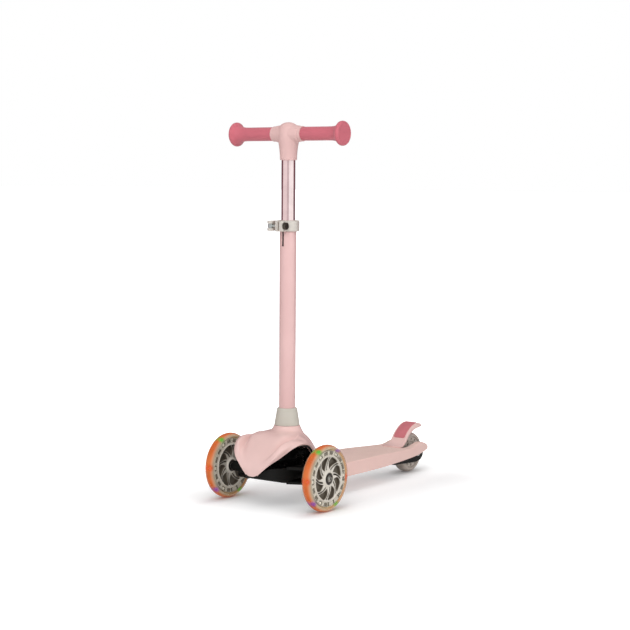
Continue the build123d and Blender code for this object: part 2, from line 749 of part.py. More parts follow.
with BuildPart() as glide_bush:
    with BuildSketch(up_at(XS, 0, Z_INN_LOW - 6.0)):
        Circle(R_OUT_IN - 0.06)
    extrude(amount=5.9)
    with BuildSketch(up_at(XS, 0, Z_INN_LOW - 0.2)):
        Circle(R_INN - 1.55)
    extrude(amount=14.0)
    with BuildSketch(up_at(XS, 0, Z_INN_LOW - 10)):
        Circle(8.0)
    extrude(amount=30, mode=Mode.SUBTRACT)

# ---------------------------------------------------------------------------
# handlebar
# ---------------------------------------------------------------------------
with BuildPart() as t_piece:
    with BuildSketch(xz(0)):
        with BuildLine():
            Polyline((XS, Z_TEE), (XS + 14.6, Z_TEE), (XS + 15.3, Z_TEE + 0.8))
            Spline(
                (XS + 15.3, Z_TEE + 0.8), (XS + 15.7, 632.0), (XS + 16.8, 643.0), (XS + 18.3, 653.0),
                (XS + 19.6, 662.0), (XS + 19.8, 670.0), (XS + 18.0, 679.0), (XS + 13.4, 685.6),
                (XS + 7.0, 689.0), (XS, 690.2),
            )
            Line((XS, 690.2), (XS, Z_TEE))
        make_face()
    revolve(axis=STEM_AXIS)
    with BuildSketch(along_y(XS, -Y_TEE, Z_BAR)):
        Circle(13.7)
    extrude(amount=2 * Y_TEE)
    joint_edges = [e for e in t_piece.edges() if 10 < abs(e.center().Y) < 24 or (e.geom_type not in (GeomType.CIRCLE, GeomType.LINE) and abs(e.center().Y) > 5 and e.center().Z > 640)]
    fillet([e for e in joint_edges if abs(e.center().Y) > 6 and abs(e.center().Y) < 30], radius=6.0)
    chamfer([e for e in t_piece.edges() if abs(abs(e.center().Y) - Y_TEE) < 0.2], length=0.8)
    with BuildSketch(along_y(XS, -60, Z_BAR)):
        Circle(R_BAR + 0.03)
    extrude(amount=120, mode=Mode.SUBTRACT)
    with BuildSketch(up_at(XS, 0, Z_TEE - 5)):
        Circle(R_INN + 0.03)
    extrude(amount=655.2 - Z_TEE + 5, mode=Mode.SUBTRACT)
    # blind hole for the cross screw
    with BuildSketch(along_x(XS - 30, 0, 637.0)):
        Circle(2.05)
    extrude(amount=30, mode=Mode.SUBTRACT)
    with BuildSketch(along_x(XS - 30, 0, 637.0)):
        Circle(3.8)
    extrude(amount=30 - 15.0, mode=Mode.SUBTRACT)

with BuildPart() as inner_tube_drilled:
    add(inner_tube.part)
    with BuildSketch(along_x(XS - 30, 0, 637.0)):
        Circle(2.05)
    extrude(amount=30, mode=Mode.SUBTRACT)
inner_tube = inner_tube_drilled

with BuildPart() as t_piece_screw:
    with BuildSketch(along_x(XS - 16.4, 0, 637.0)):
        Circle(3.6)
    extrude(amount=1.38)
    with BuildSketch(along_x(XS - 15.1, 0, 637.0)):
        Circle(2.0)
    extrude(amount=7.0)
    with BuildSketch(along_x(XS - 16.4, 0, 637.0)):
        RegularPolygon(1.5, 6)
    extrude(amount=0.8, mode=Mode.SUBTRACT)

with BuildPart() as crossbar:
    with BuildSketch(along_y(XS, -Y_BAR, Z_BAR)):
        Circle(R_BAR)
        Circle(R_BAR - 1.5, mode=Mode.SUBTRACT)
    extrude(amount=2 * Y_BAR)

with BuildPart() as left_grip:
    with BuildSketch(yz(XS)):
        with BuildLine():
            Polyline((Y_TEE + 0.2, Z_BAR + R_BAR + 0.03), (Y_TEE + 0.2, Z_BAR + R_GRIP - 0.5), (Y_TEE + 0.9, Z_BAR + R_GRIP))
            Spline(
                (Y_TEE + 0.9, Z_BAR + R_GRIP), (60.0, Z_BAR + R_GRIP), (96.0, Z_BAR + R_GRIP), (106.0, Z_BAR + 13.6),
                (112.0, Z_BAR + 16.6), (115.6, Z_BAR + 20.4), (118.2, Z_BAR + 22.0), (121.4, Z_BAR + 21.6),
                (Y_GRIP - 0.4, Z_BAR + 19.6), (Y_GRIP, Z_BAR + 16.0), (Y_GRIP, Z_BAR + 8.0), (Y_GRIP - 0.4, Z_BAR),
            )
            Polyline(
                (Y_GRIP - 0.4, Z_BAR), (Y_BAR + 0.1, Z_BAR), (Y_BAR + 0.1, Z_BAR + R_BAR + 0.03), (Y_TEE + 0.2, Z_BAR + R_BAR + 0.03),
            )
        make_face()
    revolve(axis=BAR_AXIS)
with BuildPart() as right_grip:
    add(left_grip.part.mirror(Plane.XZ))

# ---------------------------------------------------------------------------
# deck
# ---------------------------------------------------------------------------
with BuildPart() as deck:
    with BuildSketch(xy(30.0)):
        with BuildLine():
            Polyline((X_DECK_FRONT, 0), (X_DECK_FRONT, 47.0), (X_DECK_FRONT - 6, 51.0), (XF - 120, HW_DECK), (XF - 262, HW_DECK))
            Spline(
                (XF - 262, HW_DECK), (XF - 285, 51.5), (XF - 305, 49.9), (XF - 330, 47.2), (XF - 360, 44.4), (XF - 390, 40.8),
                (XF - 415, 37.2), (XF - 430, 34.8), (XF - 445, 32.2), (XF - 459, 29.4), (XF - 470.0, 26.4), (XF - 473.6, 22.0),
                tangents=((-1, 0), (-0.1, -1)),
            )
            Polyline((XF - 473.6, 22.0), (XF - 473.6, 0), (X_DECK_FRONT, 0))
        make_face()
        mirror(about=Plane.XZ)
    extrude(amount=45.0)
    with BuildSketch(xz(0)):
        with BuildLine():
            Polyline((X_DECK_FRONT + 2, 34.5), (X_DECK_FRONT + 2, Z_DECK), (XF - 262, Z_DECK))
            Spline(
                (XF - 262, Z_DECK), (XF - 285, 60.5), (XF - 305, 59.7), (XF - 330, 58.6), (XF - 360, 57.2), (XF - 385, 56.3),
                (XF - 398, 56.4), (XF - 407, 57.8), (XF - 415, 60.0), (XF - 423, 62.0), (XF - 431, 62.7), (XF - 439, 62.2),
                (XF - 448, 60.2), (XF - 458, 57.2), (XF - 467.5, 53.2), (XF - 474, 47.9),
                tangents=((-1, 0), (-0.3, -1)),
            )
            Polyline((XF - 474, 47.9), (XF - 471.4, 44.7), (XF - 445, 41.2), (XF - 420, 38.9), (XF - 400, 38.0), (XF - 345, 36.8), (XF - 285, 36.0), (XF - 226, 35.0), (X_DECK_FRONT + 2, 34.5))
        make_face()
    extrude(amount=80, both=True, mode=Mode.INTERSECT)
    # wheel slot
    with BuildSketch(xy(25.0)):
        with Locations((X_SLOT - 60, 0)):
            Rectangle(120, 2 * HW_SLOT)
    extrude(amount=60, mode=Mode.SUBTRACT)
    top_edges = [
        e for e in deck.edges()
        if e.center().Z > 50 and e.bounding_box().size.Z < 30 and e.length > 20 and abs(e.center().Y) > 26
    ]
    fillet(top_edges, radius=2.4)
    # seat of the brake's foot
    with BuildSketch(xy(Z_SEAT)):
        with Locations((X_SLOT + 2.0, 0)):
            Rectangle(20, 46)
    extrude(amount=10, mode=Mode.SUBTRACT)
    # ribbed underside
    for i in range(3):
        for side in (1, -1):
            with BuildSketch(xy(20.0)):
                with Locations((XF - 190.5 - 44.5 * i - 1, side * (2 + 22.0))):
                    Rectangle(40.5, 44.0)
            extrude(amount=Z_DECK - WALL - 21, mode=Mode.SUBTRACT)
    with BuildSketch(xy(20.0)):
        with Locations((XF - 127, 0)):
            Rectangle(80, 96)
    extrude(amount=Z_DECK - WALL - 20, mode=Mode.SUBTRACT)
    # room for the rear fork
    with BuildSketch(xy(20.0)):
        with Locations((XF - 352.5, 0)):
            Rectangle(76, 62)
    extrude(amount=Z_FORK + 0.3 - 20, mode=Mode.SUBTRACT)
    with BuildSketch(xy(20.0)):
        with BuildLine():
            Polyline((XF - 380, 0), (XF - 380, 25.6), (XF - 424.5, 25.6), (XF - 424.5, 31.0), (XF - 443.5, 31.0), (XF - 446, 25.6), (XF - 460, 24.2), (XF - 460, 0), close=True)
        make_face()
        mirror(about=Plane.XZ)
    extrude(amount=32.0, mode=Mode.SUBTRACT)
    for side in (1, -1):
        with BuildSketch(xy(20.0)):
            with Locations((XF - 340, side * 38.0)):
                Rectangle(44, 6.6)
        extrude(amount=Z_FORK + 0.3 - 20, mode=Mode.SUBTRACT)
    # blind holes for the screws
    with BuildSketch(xy(40.0)):
        with Locations(*[(XF - x, y) for x in (108, 146) for y in (30, -30)]):
            Circle(1.6)
    extrude(amount=19.0, mode=Mode.SUBTRACT)
    with BuildSketch(xy(40.0)):
        with Locations(*[(XF - x, y) for x in (328, 366) for y in (20, -20)]):
            Circle(1.6)
    extrude(amount=14.4, mode=Mode.SUBTRACT)

with BuildPart() as deck_screws:
    for x in (108, 146):
        for y in (30, -30):
            with BuildSketch(up_at(XF - x, y, 39.5)):
                Circle(4.2)
            extrude(amount=2.45)
            with BuildSketch(up_at(XF - x, y, 41.9)):
                Circle(1.55)
            extrude(amount=16.8)

# ---------------------------------------------------------------------------
# rear fork, wheel and brake
# ---------------------------------------------------------------------------
with BuildPart() as rear_fork:
    for y_in in (17.2, -23.0):
        with BuildSketch(xz(y_in + 5.8)):
            with BuildLine():
                Polyline((XF - 316, 40.0), (XF - 326, 31.0), (XF - 345, 27.4), (XF - 380, 25.6), (XF - 425, 25.6))
                Spline((XF - 425, 25.6), (XF - 440, 27.0), (XF - 452, 31.5), (XF - 458.5, 38.0), (XF - 456, 45.0), (XF - 446, 50.5))
                Polyline((XF - 446, 50.5), (XF - 405, 50.0), (XF - 393, 54.2), (XF - 383, 54.2), (XF - 381.5, Z_FORK), (XF - 316, Z_FORK), (XF - 316, 40.0))
            make_face()
        extrude(amount=5.8)
    with BuildSketch(xz(29.0)):
        with BuildLine():
            Polyline((XF - 316, 40.0), (XF - 326, 31.0), (XF - 345, 27.4), (XF - 386, 25.6), (XF - 386, 40.4), (XF - 377, 42.8), (XF - 377, Z_FORK), (XF - 316, Z_FORK), close=True)
        make_face()
    extrude(amount=58.0)
    # lightening pockets from below
    with BuildSketch(xy(20)):
        with Locations((XF - 351, 8.5), (XF - 351, -8.5)):
            Rectangle(44, 13.5)
    extrude(amount=27, mode=Mode.SUBTRACT)
    with BuildSketch(along_y(XR, -40, R_REAR)):
        Circle(4.0)
    extrude(amount=80, mode=Mode.SUBTRACT)
    with BuildSketch(along_y(X_HINGE, -40, Z_HINGE)):
        Circle(2.5)
    extrude(amount=80, mode=Mode.SUBTRACT)
    with BuildSketch(xy(20)):
        with Locations(*[(XF - x, y) for x in (328, 366) for y in (20, -20)]):
            Circle(1.9)
    extrude(amount=60, mode=Mode.SUBTRACT)
    with BuildSketch(xy(20)):
        with Locations(*[(XF - x, y) for x in (328, 366) for y in (20, -20)]):
            Circle(4.5)
    extrude(amount=20, mode=Mode.SUBTRACT)

with BuildPart() as fork_screws:
    for x in (328, 366):
        for y in (20, -20):
            with BuildSketch(up_at(XF - x, y, 37.5)):
                Circle(4.2)
            extrude(amount=2.45)
            with BuildSketch(up_at(XF - x, y, 39.9)):
                Circle(1.55)
            extrude(amount=14.2)

with BuildPart() as rear_axle_bolt:
    with BuildSketch(along_y(XR, -27.5, R_REAR)):
        Circle(4.0 - FIT)
    extrude(amount=50.6)
    with BuildSketch(along_y(XR, 23.05, R_REAR)):
        Circle(6.4)
    extrude(amount=5.0)
    fillet(rear_axle_bolt.faces().sort_by(Axis.Y)[-1].edges(), radius=1.0)
    with BuildSketch(along_y(XR, 28.05, R_REAR)):
        RegularPolygon(3.0, 6)
    extrude(amount=-2.4, mode=Mode.SUBTRACT)

with BuildPart() as rear_axle_nut:
    with BuildSketch(along_y(XR, -29.5, R_REAR)):
        RegularPolygon(7.2, 6)
    extrude(amount=6.45)
    with BuildSketch(along_y(XR, -27.8, R_REAR)):
        Circle(4.0)
    extrude(amount=6, mode=Mode.SUBTRACT)

with BuildPart() as rear_spacers:
    for y0 in (-17.15, 10.6):
        with BuildSketch(along_y(XR, y0, R_REAR)):
            Circle(6.0)
            Circle(4.0, mode=Mode.SUBTRACT)
        extrude(amount=6.55)
    with BuildSketch(along_y(XR, -2.6, R_REAR)):
        Circle(6.0)
        Circle(4.0, mode=Mode.SUBTRACT)
    extrude(amount=5.2)

with BuildPart() as rear_bearings:
    for y0 in (-10.2, 3.0):
        with BuildSketch(along_y(XR, y0, R_REAR)):
            Circle(10.98)
            Circle(4.0, mode=Mode.SUBTRACT)
        extrude(amount=7.2)

R_RHUB = 30.0
with BuildPart() as rear_hub:
    with BuildSketch(yz(XR)):
        with BuildLine():
            Polyline(
                (-10.3, R_REAR + 11.0), (-10.3, R_REAR + 14.0), (-8.0, R_REAR + 15.5), (-8.0, R_REAR + 21.0),
                (-9.6, R_REAR + 22.0), (-9.6, R_REAR + R_RHUB - 0.05), (-4.0, R_REAR + R_RHUB - 0.05), (-4.0, R_REAR + 33.0),
                (4.0, R_REAR + 33.0), (4.0, R_REAR + R_RHUB - 0.05), (9.6, R_REAR + R_RHUB - 0.05), (9.6, R_REAR + 22.0),
                (8.0, R_REAR + 21.0), (8.0, R_REAR + 15.5), (10.3, R_REAR + 14.0), (10.3, R_REAR + 11.0), close=True,
            )
        make_face()
    revolve(axis=REAR_AXIS)
    with BuildSketch(along_y(XR, -20, R_REAR)):
        with PolarLocations(25.8, 12):
            Circle(2.3)
    extrude(amount=40, mode=Mode.SUBTRACT)
    with BuildSketch(along_y(XR, -20, R_REAR)):
        with PolarLocations(18.3, 6):
            Circle(2.4)
    extrude(amount=40, mode=Mode.SUBTRACT)

with BuildPart() as rear_tyre:
    with BuildSketch(yz(XR)):
        with BuildLine():
            Polyline(
                (9.8, R_REAR + R_RHUB), (4.05, R_REAR + R_RHUB), (4.05, R_REAR + 33.05), (-4.05, R_REAR + 33.05),
                (-4.05, R_REAR + R_RHUB), (-9.8, R_REAR + R_RHUB), (-12.0, R_REAR + 31.5),
            )
            Spline(
                (-12.0, R_REAR + 31.5), (-10.8, R_REAR + 35.9), (-6.8, R_REAR + 38.8), (0, R_REAR + R_REAR),
                (6.8, R_REAR + 38.8), (10.8, R_REAR + 35.9), (12.0, R_REAR + 31.5),
                tangents=((0, 1), (0, -1)),
            )
            Line((12.0, R_REAR + 31.5), (9.8, R_REAR + R_RHUB))
        make_face()
    revolve(axis=REAR_AXIS)

# brake fender: (x, z) from the front axle, top line from the foot to the tail
FENDER_TOP = (
    (-374.0, 58.6), (-381.0, 58.8), (-388.0, 60.0), (-393.5, 62.4), (-398.0, 65.9), (-402.5, 71.0), (-407.5, 77.2), (-413.0, 82.9),
    (-420.0, 88.2), (-429.0, 93.4), (-438.0, 96.8), (-446.0, 98.3), (-454.0, 97.4), (-461.0, 94.7), (-467.5, 90.4),
)
FENDER_LOW = (
    (-466.3, 88.0), (-460.0, 91.9), (-453.6, 94.4), (-446.0, 95.4), (-438.8, 94.1), (-430.2, 90.9), (-421.6, 86.0), (-414.8, 81.2),
    (-409.2, 75.9), (-404.0, 69.7), (-400.0, 64.7), (-396.2, 58.8),
)


def shifted(points):
    return [(XF + x, z) for x, z in points]


Z_FOOT = Z_SEAT + 0.35
top = shifted(FENDER_TOP)
low = shifted(FENDER_LOW)
with BuildPart() as fender_brake:
    # arched plate with its side skirts
    with BuildSketch(xz(HW_FENDER)):
        with BuildLine():
            Spline(*top)
            Polyline(top[-1], (XF - 467.5, 87.4), (XF - 461, 85.6))
            Spline((XF - 461, 85.6), (XF - 446, 86.6), (XF - 432, 85.2), (XF - 421, 81.2), (XF - 412.4, 74.6), (XF - 406.4, 67.6), (XF - 401.6, 61.4), (XF - 398.6, 57.6))
            Polyline((XF - 398.6, 57.6), (XF - 396.4, 56.2), (XF - 392.4, 55.0), (XF - 383.4, 55.0), (XF - 383.4, Z_FOOT), (XF - 374.0, Z_FOOT), top[0])
        make_face()
    extrude(amount=2 * HW_FENDER)
    # hollow underside over the wheel
    with BuildSketch(xz(HW_FENDER - 2.1)):
        with BuildLine():
            Spline(*low)
            Polyline(low[-1], (XF - 393.4, 54.4), (XF - 393.4, 46.0), (XF - 480.0, 46.0), (XF - 480.0, 88.0), low[0])
        make_face()
    extrude(amount=2 * (HW_FENDER - 2.1), mode=Mode.SUBTRACT)
    # flared foot
    with BuildSketch(xy(Z_FOOT)):
        with BuildLine():
            FilletPolyline((XF - 373.5, -20.5), (XF - 373.5, 20.5), (XF - 388.5, 20.5), (XF - 388.5, -20.5), radius=5.5, close=True)
        make_face()
    extrude(amount=1.9)
    # hinge barrels
    for y0, y1 in ((-16.8, -5.6), (5.6, 16.8)):
        with BuildSketch(along_y(X_HINGE, y0, Z_HINGE)):
            Circle(4.6)
        extrude(amount=y1 - y0)
        with BuildSketch(along_y(X_HINGE, y0, 0)):
            with Locations((0, -Z_HINGE - 4.6)):
                Rectangle(9.2, 9.2)
        extrude(amount=y1 - y0)
    with BuildSketch(along_y(X_HINGE, -30, Z_HINGE)):
        Circle(2.5)
    extrude(amount=60, mode=Mode.SUBTRACT)
    # recess for the tread pad
    with BuildSketch(xz(HW_PAD)):
        with BuildLine():
            pad_line = top[5:13]
            pad_low = [(x - 1.1 * nx, z - 1.1 * nz) for x, z, nx, nz in [
                (pad_line[i][0], pad_line[i][1],
                 *(lambda dx, dz: (-dz / math.hypot(dx, dz), dx / math.hypot(dx, dz)))(
                     pad_line[max(i - 1, 0)][0] - pad_line[min(i + 1, 7)][0],
                     pad_line[max(i - 1, 0)][1] - pad_line[min(i + 1, 7)][1]))
                for i in range(8)]]
            pad_high = [(2 * a[0] - b[0], 2 * a[1] - b[1]) for a, b in zip(pad_line, pad_low)]
            Spline(*pad_high)
            Line(pad_high[-1], pad_low[-1])
            Spline(*pad_low[::-1])
            Line(pad_low[0], pad_high[0])
        make_face()
    extrude(amount=2 * HW_PAD, mode=Mode.SUBTRACT)

with BuildPart() as brake_pad:
    with BuildSketch(xz(HW_PAD - 0.1)):
        with BuildLine():
            Spline(*[(x, z) for x, z in pad_high])
            Line(pad_high[-1], pad_low[-1])
            Spline(*pad_low[::-1])
            Line(pad_low[0], pad_high[0])
        make_face()
    extrude(amount=2 * HW_PAD - 0.2)

with BuildPart() as brake_hinge_pin:
    with BuildSketch(along_y(X_HINGE, -23.0, Z_HINGE)):
        Circle(2.5 - FIT)
    extrude(amount=46.0)

with BuildPart() as brake_spring:
    with BuildLine() as spring_path:
        Helix(pitch=2.2, height=8.8, radius=4.0, center=(X_HINGE, -4.4, Z_HINGE), direction=(0, 1, 0))
    with BuildSketch(Plane(origin=spring_path.line @ 0, z_dir=spring_path.line % 0)):
        Circle(0.75)
    sweep(is_frenet=True)

# ---------------------------------------------------------------------------
pieces = {
    "deck": deck, "front_carrier": front_carrier, "rear_fork": rear_fork, "lean_pivot_bolt": lean_pivot_bolt,
    "lean_pivot_nut": lean_pivot_nut, "kingpins": kingpins, "lean_spring_left": lean_spring_left,
    "lean_spring_right": lean_spring_right, "deck_screws": deck_screws, "fork_screws": fork_screws,
    "rear_axle_bolt": rear_axle_bolt, "rear_axle_nut": rear_axle_nut, "rear_spacers": rear_spacers,
    "brake_hinge_pin": brake_hinge_pin, "brake_spring": brake_spring, "steering_block": steering_block,
    "nose_shell": nose_shell, "nose_liner": nose_liner, "nose_screws": nose_screws, "stem_collar": stem_collar,
    "outer_tube": outer_tube, "stem_bolt": stem_bolt, "stem_nut": stem_nut, "clamp_ring": clamp_ring,
    "clamp_bolt": clamp_bolt, "clamp_nut": clamp_nut, "clamp_lever": clamp_lever, "clamp_lever_pin": clamp_lever_pin,
    "inner_tube": inner_tube, "glide_bush": glide_bush, "t_piece": t_piece, "t_piece_screw": t_piece_screw,
    "crossbar": crossbar, "left_grip": left_grip, "right_grip": right_grip, "tie_rod": tie_rod,
    "rear_tyre": rear_tyre, "rear_hub": rear_hub, "rear_bearings": rear_bearings,
    "fender_brake": fender_brake, "brake_pad": brake_pad,
    "left_tyre": left_tyre, "left_hub": left_hub, "left_leds": left_leds, "left_bearings": left_bearings,
    "left_magnet_sleeve": left_magnet_sleeve, "left_axle_bolt": left_axle_bolt, "left_knuckle": left_knuckle,
    "left_tie_pin": left_tie_pin,
}
for name, piece in right_parts.items():
    pieces["right_" + name] = piece
for name, piece in pieces.items():
    piece.part.label = name
    export_step(piece.part, "parts/" + name + ".step")
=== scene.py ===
import bpy
import bmesh
import math
from mathutils import Matrix, Vector, geometry


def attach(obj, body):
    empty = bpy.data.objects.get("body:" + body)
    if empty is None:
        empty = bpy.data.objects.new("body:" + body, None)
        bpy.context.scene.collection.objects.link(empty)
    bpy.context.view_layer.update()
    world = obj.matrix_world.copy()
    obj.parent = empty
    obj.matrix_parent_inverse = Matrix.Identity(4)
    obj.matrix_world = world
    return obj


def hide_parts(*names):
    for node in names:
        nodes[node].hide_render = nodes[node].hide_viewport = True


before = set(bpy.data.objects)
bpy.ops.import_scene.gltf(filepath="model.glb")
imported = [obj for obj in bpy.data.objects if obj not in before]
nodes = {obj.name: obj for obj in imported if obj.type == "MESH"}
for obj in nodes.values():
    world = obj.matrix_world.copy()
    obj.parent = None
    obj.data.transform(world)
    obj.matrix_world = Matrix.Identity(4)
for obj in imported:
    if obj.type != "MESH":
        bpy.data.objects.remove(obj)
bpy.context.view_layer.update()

MM = 0.001

# main sizes of the scooter, millimetres: +X forward, +Y rider's left, +Z up
XF = 201.0
XR = XF - 434.0
XS = XF - 33.0
YW = 110.5
Z_AXLE = 60.0
Z_BAR = 669.0
R_REAR = 40.0


# ---------------------------------------------------------------------------
# geometry helpers
# ---------------------------------------------------------------------------
def mix(a, b, t):
    return a + (b - a) * t


def step(a, b, x):
    t = min(1.0, max(0.0, (x - a) / (b - a)))
    return t * t * (3 - 2 * t)


def new_object(name, mesh):
    ob = bpy.data.objects.new(name, mesh)
    bpy.context.scene.collection.objects.link(ob)
    return ob


def shade(ob, angle=38.0):
    ob.data.shade_smooth()
    ob.data.set_sharp_from_angle(angle=math.radians(angle))
    return ob


def build(name, verts, faces, angle=38.0, weld=1e-7):
    """Mesh object from millimetre points."""
    me = bpy.data.meshes.new(name)
    me.from_pydata([(v[0] * MM, v[1] * MM, v[2] * MM) for v in verts], [], faces)
    bm = bmesh.new()
    bm.from_mesh(me)
    bmesh.ops.remove_doubles(bm, verts=bm.verts, dist=weld)
    bmesh.ops.dissolve_degenerate(bm, edges=bm.edges, dist=1e-8)
    bmesh.ops.recalc_face_normals(bm, faces=bm.faces)
    bm.to_mesh(me)
    bm.free()
    return shade(new_object(name, me), angle)


def settle(ob, angle=38.0):
    """Makes the modifiers part of the mesh."""
    dg = bpy.context.evaluated_depsgraph_get()
    me = bpy.data.meshes.new_from_object(ob.evaluated_get(dg))
    old = ob.data
    ob.modifiers.clear()
    ob.data = me
    me.name = ob.name
    if old.users == 0:
        bpy.data.meshes.remove(old)
    return shade(ob, angle)


def curve_line(points, per=8, closed=False):
    """Smooth line through the points (centripetal Catmull-Rom), any dimension."""
    pts = [tuple(p) for p in points]
    n = len(pts)

    def at(i):
        if closed:
            return pts[i % n]
        if i < 0:
            return tuple(2 * a - b for a, b in zip(pts[0], pts[1]))
        if i >= n:
            return tuple(2 * a - b for a, b in zip(pts[-1], pts[-2]))
        return pts[i]

    out = []
    for i in range(n if closed else n - 1):
        p = [at(i - 1), at(i), at(i + 1), at(i + 2)]
        k = [0.0]
        for a, b in zip(p, p[1:]):
            k.append(k[-1] + max(math.dist(a, b), 1e-9) ** 0.5)
        for j in range(per):
            t = mix(k[1], k[2], j / per)

            def lerp(a, b, ta, tb):
                return tuple(mix(x, y, (t - ta) / (tb - ta)) for x, y in zip(a, b))

            a1, a2, a3 = (lerp(p[m], p[m + 1], k[m], k[m + 1]) for m in range(3))
            b1, b2 = lerp(a1, a2, k[0], k[2]), lerp(a2, a3, k[1], k[3])
            out.append(lerp(b1, b2, k[1], k[2]))
    if not closed:
        out.append(pts[-1])
    return out


def table(rows):
    """Smooth function through (x, y) rows."""
    line = curve_line(rows, 12)

    def value(x):
        if x <= line[0][0]:
            return line[0][1]
        for (x0, y0), (x1, y1) in zip(line, line[1:]):
            if x <= x1:
                return mix(y0, y1, (x - x0) / max(x1 - x0, 1e-9))
        return line[-1][1]

    return value


def rounded(points, radius, seg=5, closed=True):
    """Polygon with its corners rounded. radius is one number or one per corner."""
    n = len(points)
    rad = [radius] * n if isinstance(radius, (int, float)) else list(radius)
    out = []
    for i in range(n):
        p = Vector(points[i]).to_2d()
        r = rad[i]
        if r <= 0 or (not closed and i in (0, n - 1)):
            out.append(tuple(p))
            continue
        a = (Vector(points[i - 1]).to_2d() - p)
        b = (Vector(points[(i + 1) % n]).to_2d() - p)
        la, lb = a.length, b.length
        a.normalize()
        b.normalize()
        half = math.acos(max(-1, min(1, a.dot(b)))) / 2
        if half > math.pi / 2 - 0.02:
            out.append(tuple(p))
            continue
        d = min(r / math.tan(half), 0.49 * la, 0.49 * lb)
        r = d * math.tan(half)
        mid = (a + b).normalized() * (r / math.sin(half)) + p
        s, e = p + a * d - mid, p + b * d - mid
        turn = s.angle_signed(e)
        for j in range(seg + 1):
            q = s.copy()
            q.rotate(Matrix.Rotation(-turn * j / seg, 2))
            out.append(tuple(mid + q))
    return out


def lathe(name, loop, axis, centre, segs=96, closed=True, angle=38.0):
    """Turns a line of (radius, height) points around an axis, 'y' or 'z'."""
    cx, cy, cz = centre
    verts, rings = [], []
    for r, h in loop:
        if r < 1e-6:
            rings.append([len(verts)] * segs)
            verts.append((cx, cy + h, cz) if axis == "y" else (cx, cy, cz + h))
            continue
        ring = []
        for k in range(segs):
            a = 2 * math.pi * k / segs
            ring.append(len(verts))
            if axis == "y":
                verts.append((cx + r * math.cos(a), cy + h, cz + r * math.sin(a)))
            else:
                verts.append((cx + r * math.cos(a), cy + r * math.sin(a), cz + h))
        rings.append(ring)
    faces = []
    pairs = list(zip(rings, rings[1:])) + ([(rings[-1], rings[0])] if closed else [])
    for a, b in pairs:
        for k in range(segs):
            m = (k + 1) % segs
            f = []
            for v in (a[k], a[m], b[m], b[k]):
                if v not in f:
                    f.append(v)
            if len(f) > 2:
                faces.append(f)
    return build(name, verts, faces, angle)


def plate(name, loops, half, bevel, place, resolution=3, angle=38.0):
    """Flat shape with holes, its edges rounded, put in place by a matrix (millimetres)."""
    cu = bpy.data.curves.new(name, "CURVE")
    cu.dimensions = "2D"
    cu.fill_mode = "BOTH"
    cu.extrude = max(half - bevel, 0.0) * MM
    cu.bevel_depth = bevel * MM
    cu.bevel_resolution = resolution
    cu.offset = -bevel * MM
    for loop in loops:
        sp = cu.splines.new("POLY")
        sp.points.add(len(loop) - 1)
        for p, q in zip(sp.points, loop):
            p.co = (q[0] * MM, q[1] * MM, 0.0, 1.0)
        sp.use_cyclic_u = True
    tmp = new_object(name + "_outline", cu)
    dg = bpy.context.evaluated_depsgraph_get()
    me = bpy.data.meshes.new_from_object(tmp.evaluated_get(dg))
    bpy.data.objects.remove(tmp)
    bpy.data.curves.remove(cu)
    me.name = name
    bm = bmesh.new()
    bm.from_mesh(me)
    bmesh.ops.remove_doubles(bm, verts=bm.verts, dist=2e-6)
    bmesh.ops.dissolve_degenerate(bm, edges=bm.edges, dist=1e-7)
    bmesh.ops.recalc_face_normals(bm, faces=bm.faces)
    bm.to_mesh(me)
    bm.free()
    m = place.copy()
    m.translation = m.translation * MM
    me.transform(m)
    return shade(new_object(name, me), angle)


def join(name, *obs):
    """One object of several meshes."""
    bm = bmesh.new()
    for o in obs:
        bm.from_mesh(o.data)
        old = o.data
        bpy.data.objects.remove(o)
        if old.users == 0:
            bpy.data.meshes.remove(old)
    me = bpy.data.meshes.new(name)
    bm.to_mesh(me)
    bm.free()
    return shade(new_object(name, me))


def cut(ob, cutter):
    m = ob.modifiers.new("cut", "BOOLEAN")
    m.operation = "DIFFERENCE"
    m.solver = "EXACT"
    m.object = cutter
    settle(ob)
    old = cutter.data
    bpy.data.objects.remove(cutter)
    bpy.data.meshes.remove(old)
    return ob


def centre_on(ob, x, y, z):
    """Puts the object's own origin at a point without moving its mesh."""
    c = Vector((x, y, z)) * MM
    ob.data.transform(Matrix.Translation(-c))
    ob.location = c
    return ob


def wear(ob, body, slot, *stands_for):
    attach(ob, body)
    if stands_for:
        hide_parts(*stands_for)
    return ob


# ---------------------------------------------------------------------------
# material helpers
# ---------------------------------------------------------------------------
def srgb(r, g, b):
    def lin(c):
        c = c / 255.0
        return c / 12.92 if c <= 0.04045 else ((c + 0.055) / 1.055) ** 2.4
    return (lin(r), lin(g), lin(b), 1.0)


def times(colour, k):
    return (min(1, colour[0] * k), min(1, colour[1] * k), min(1, colour[2] * k), 1.0)


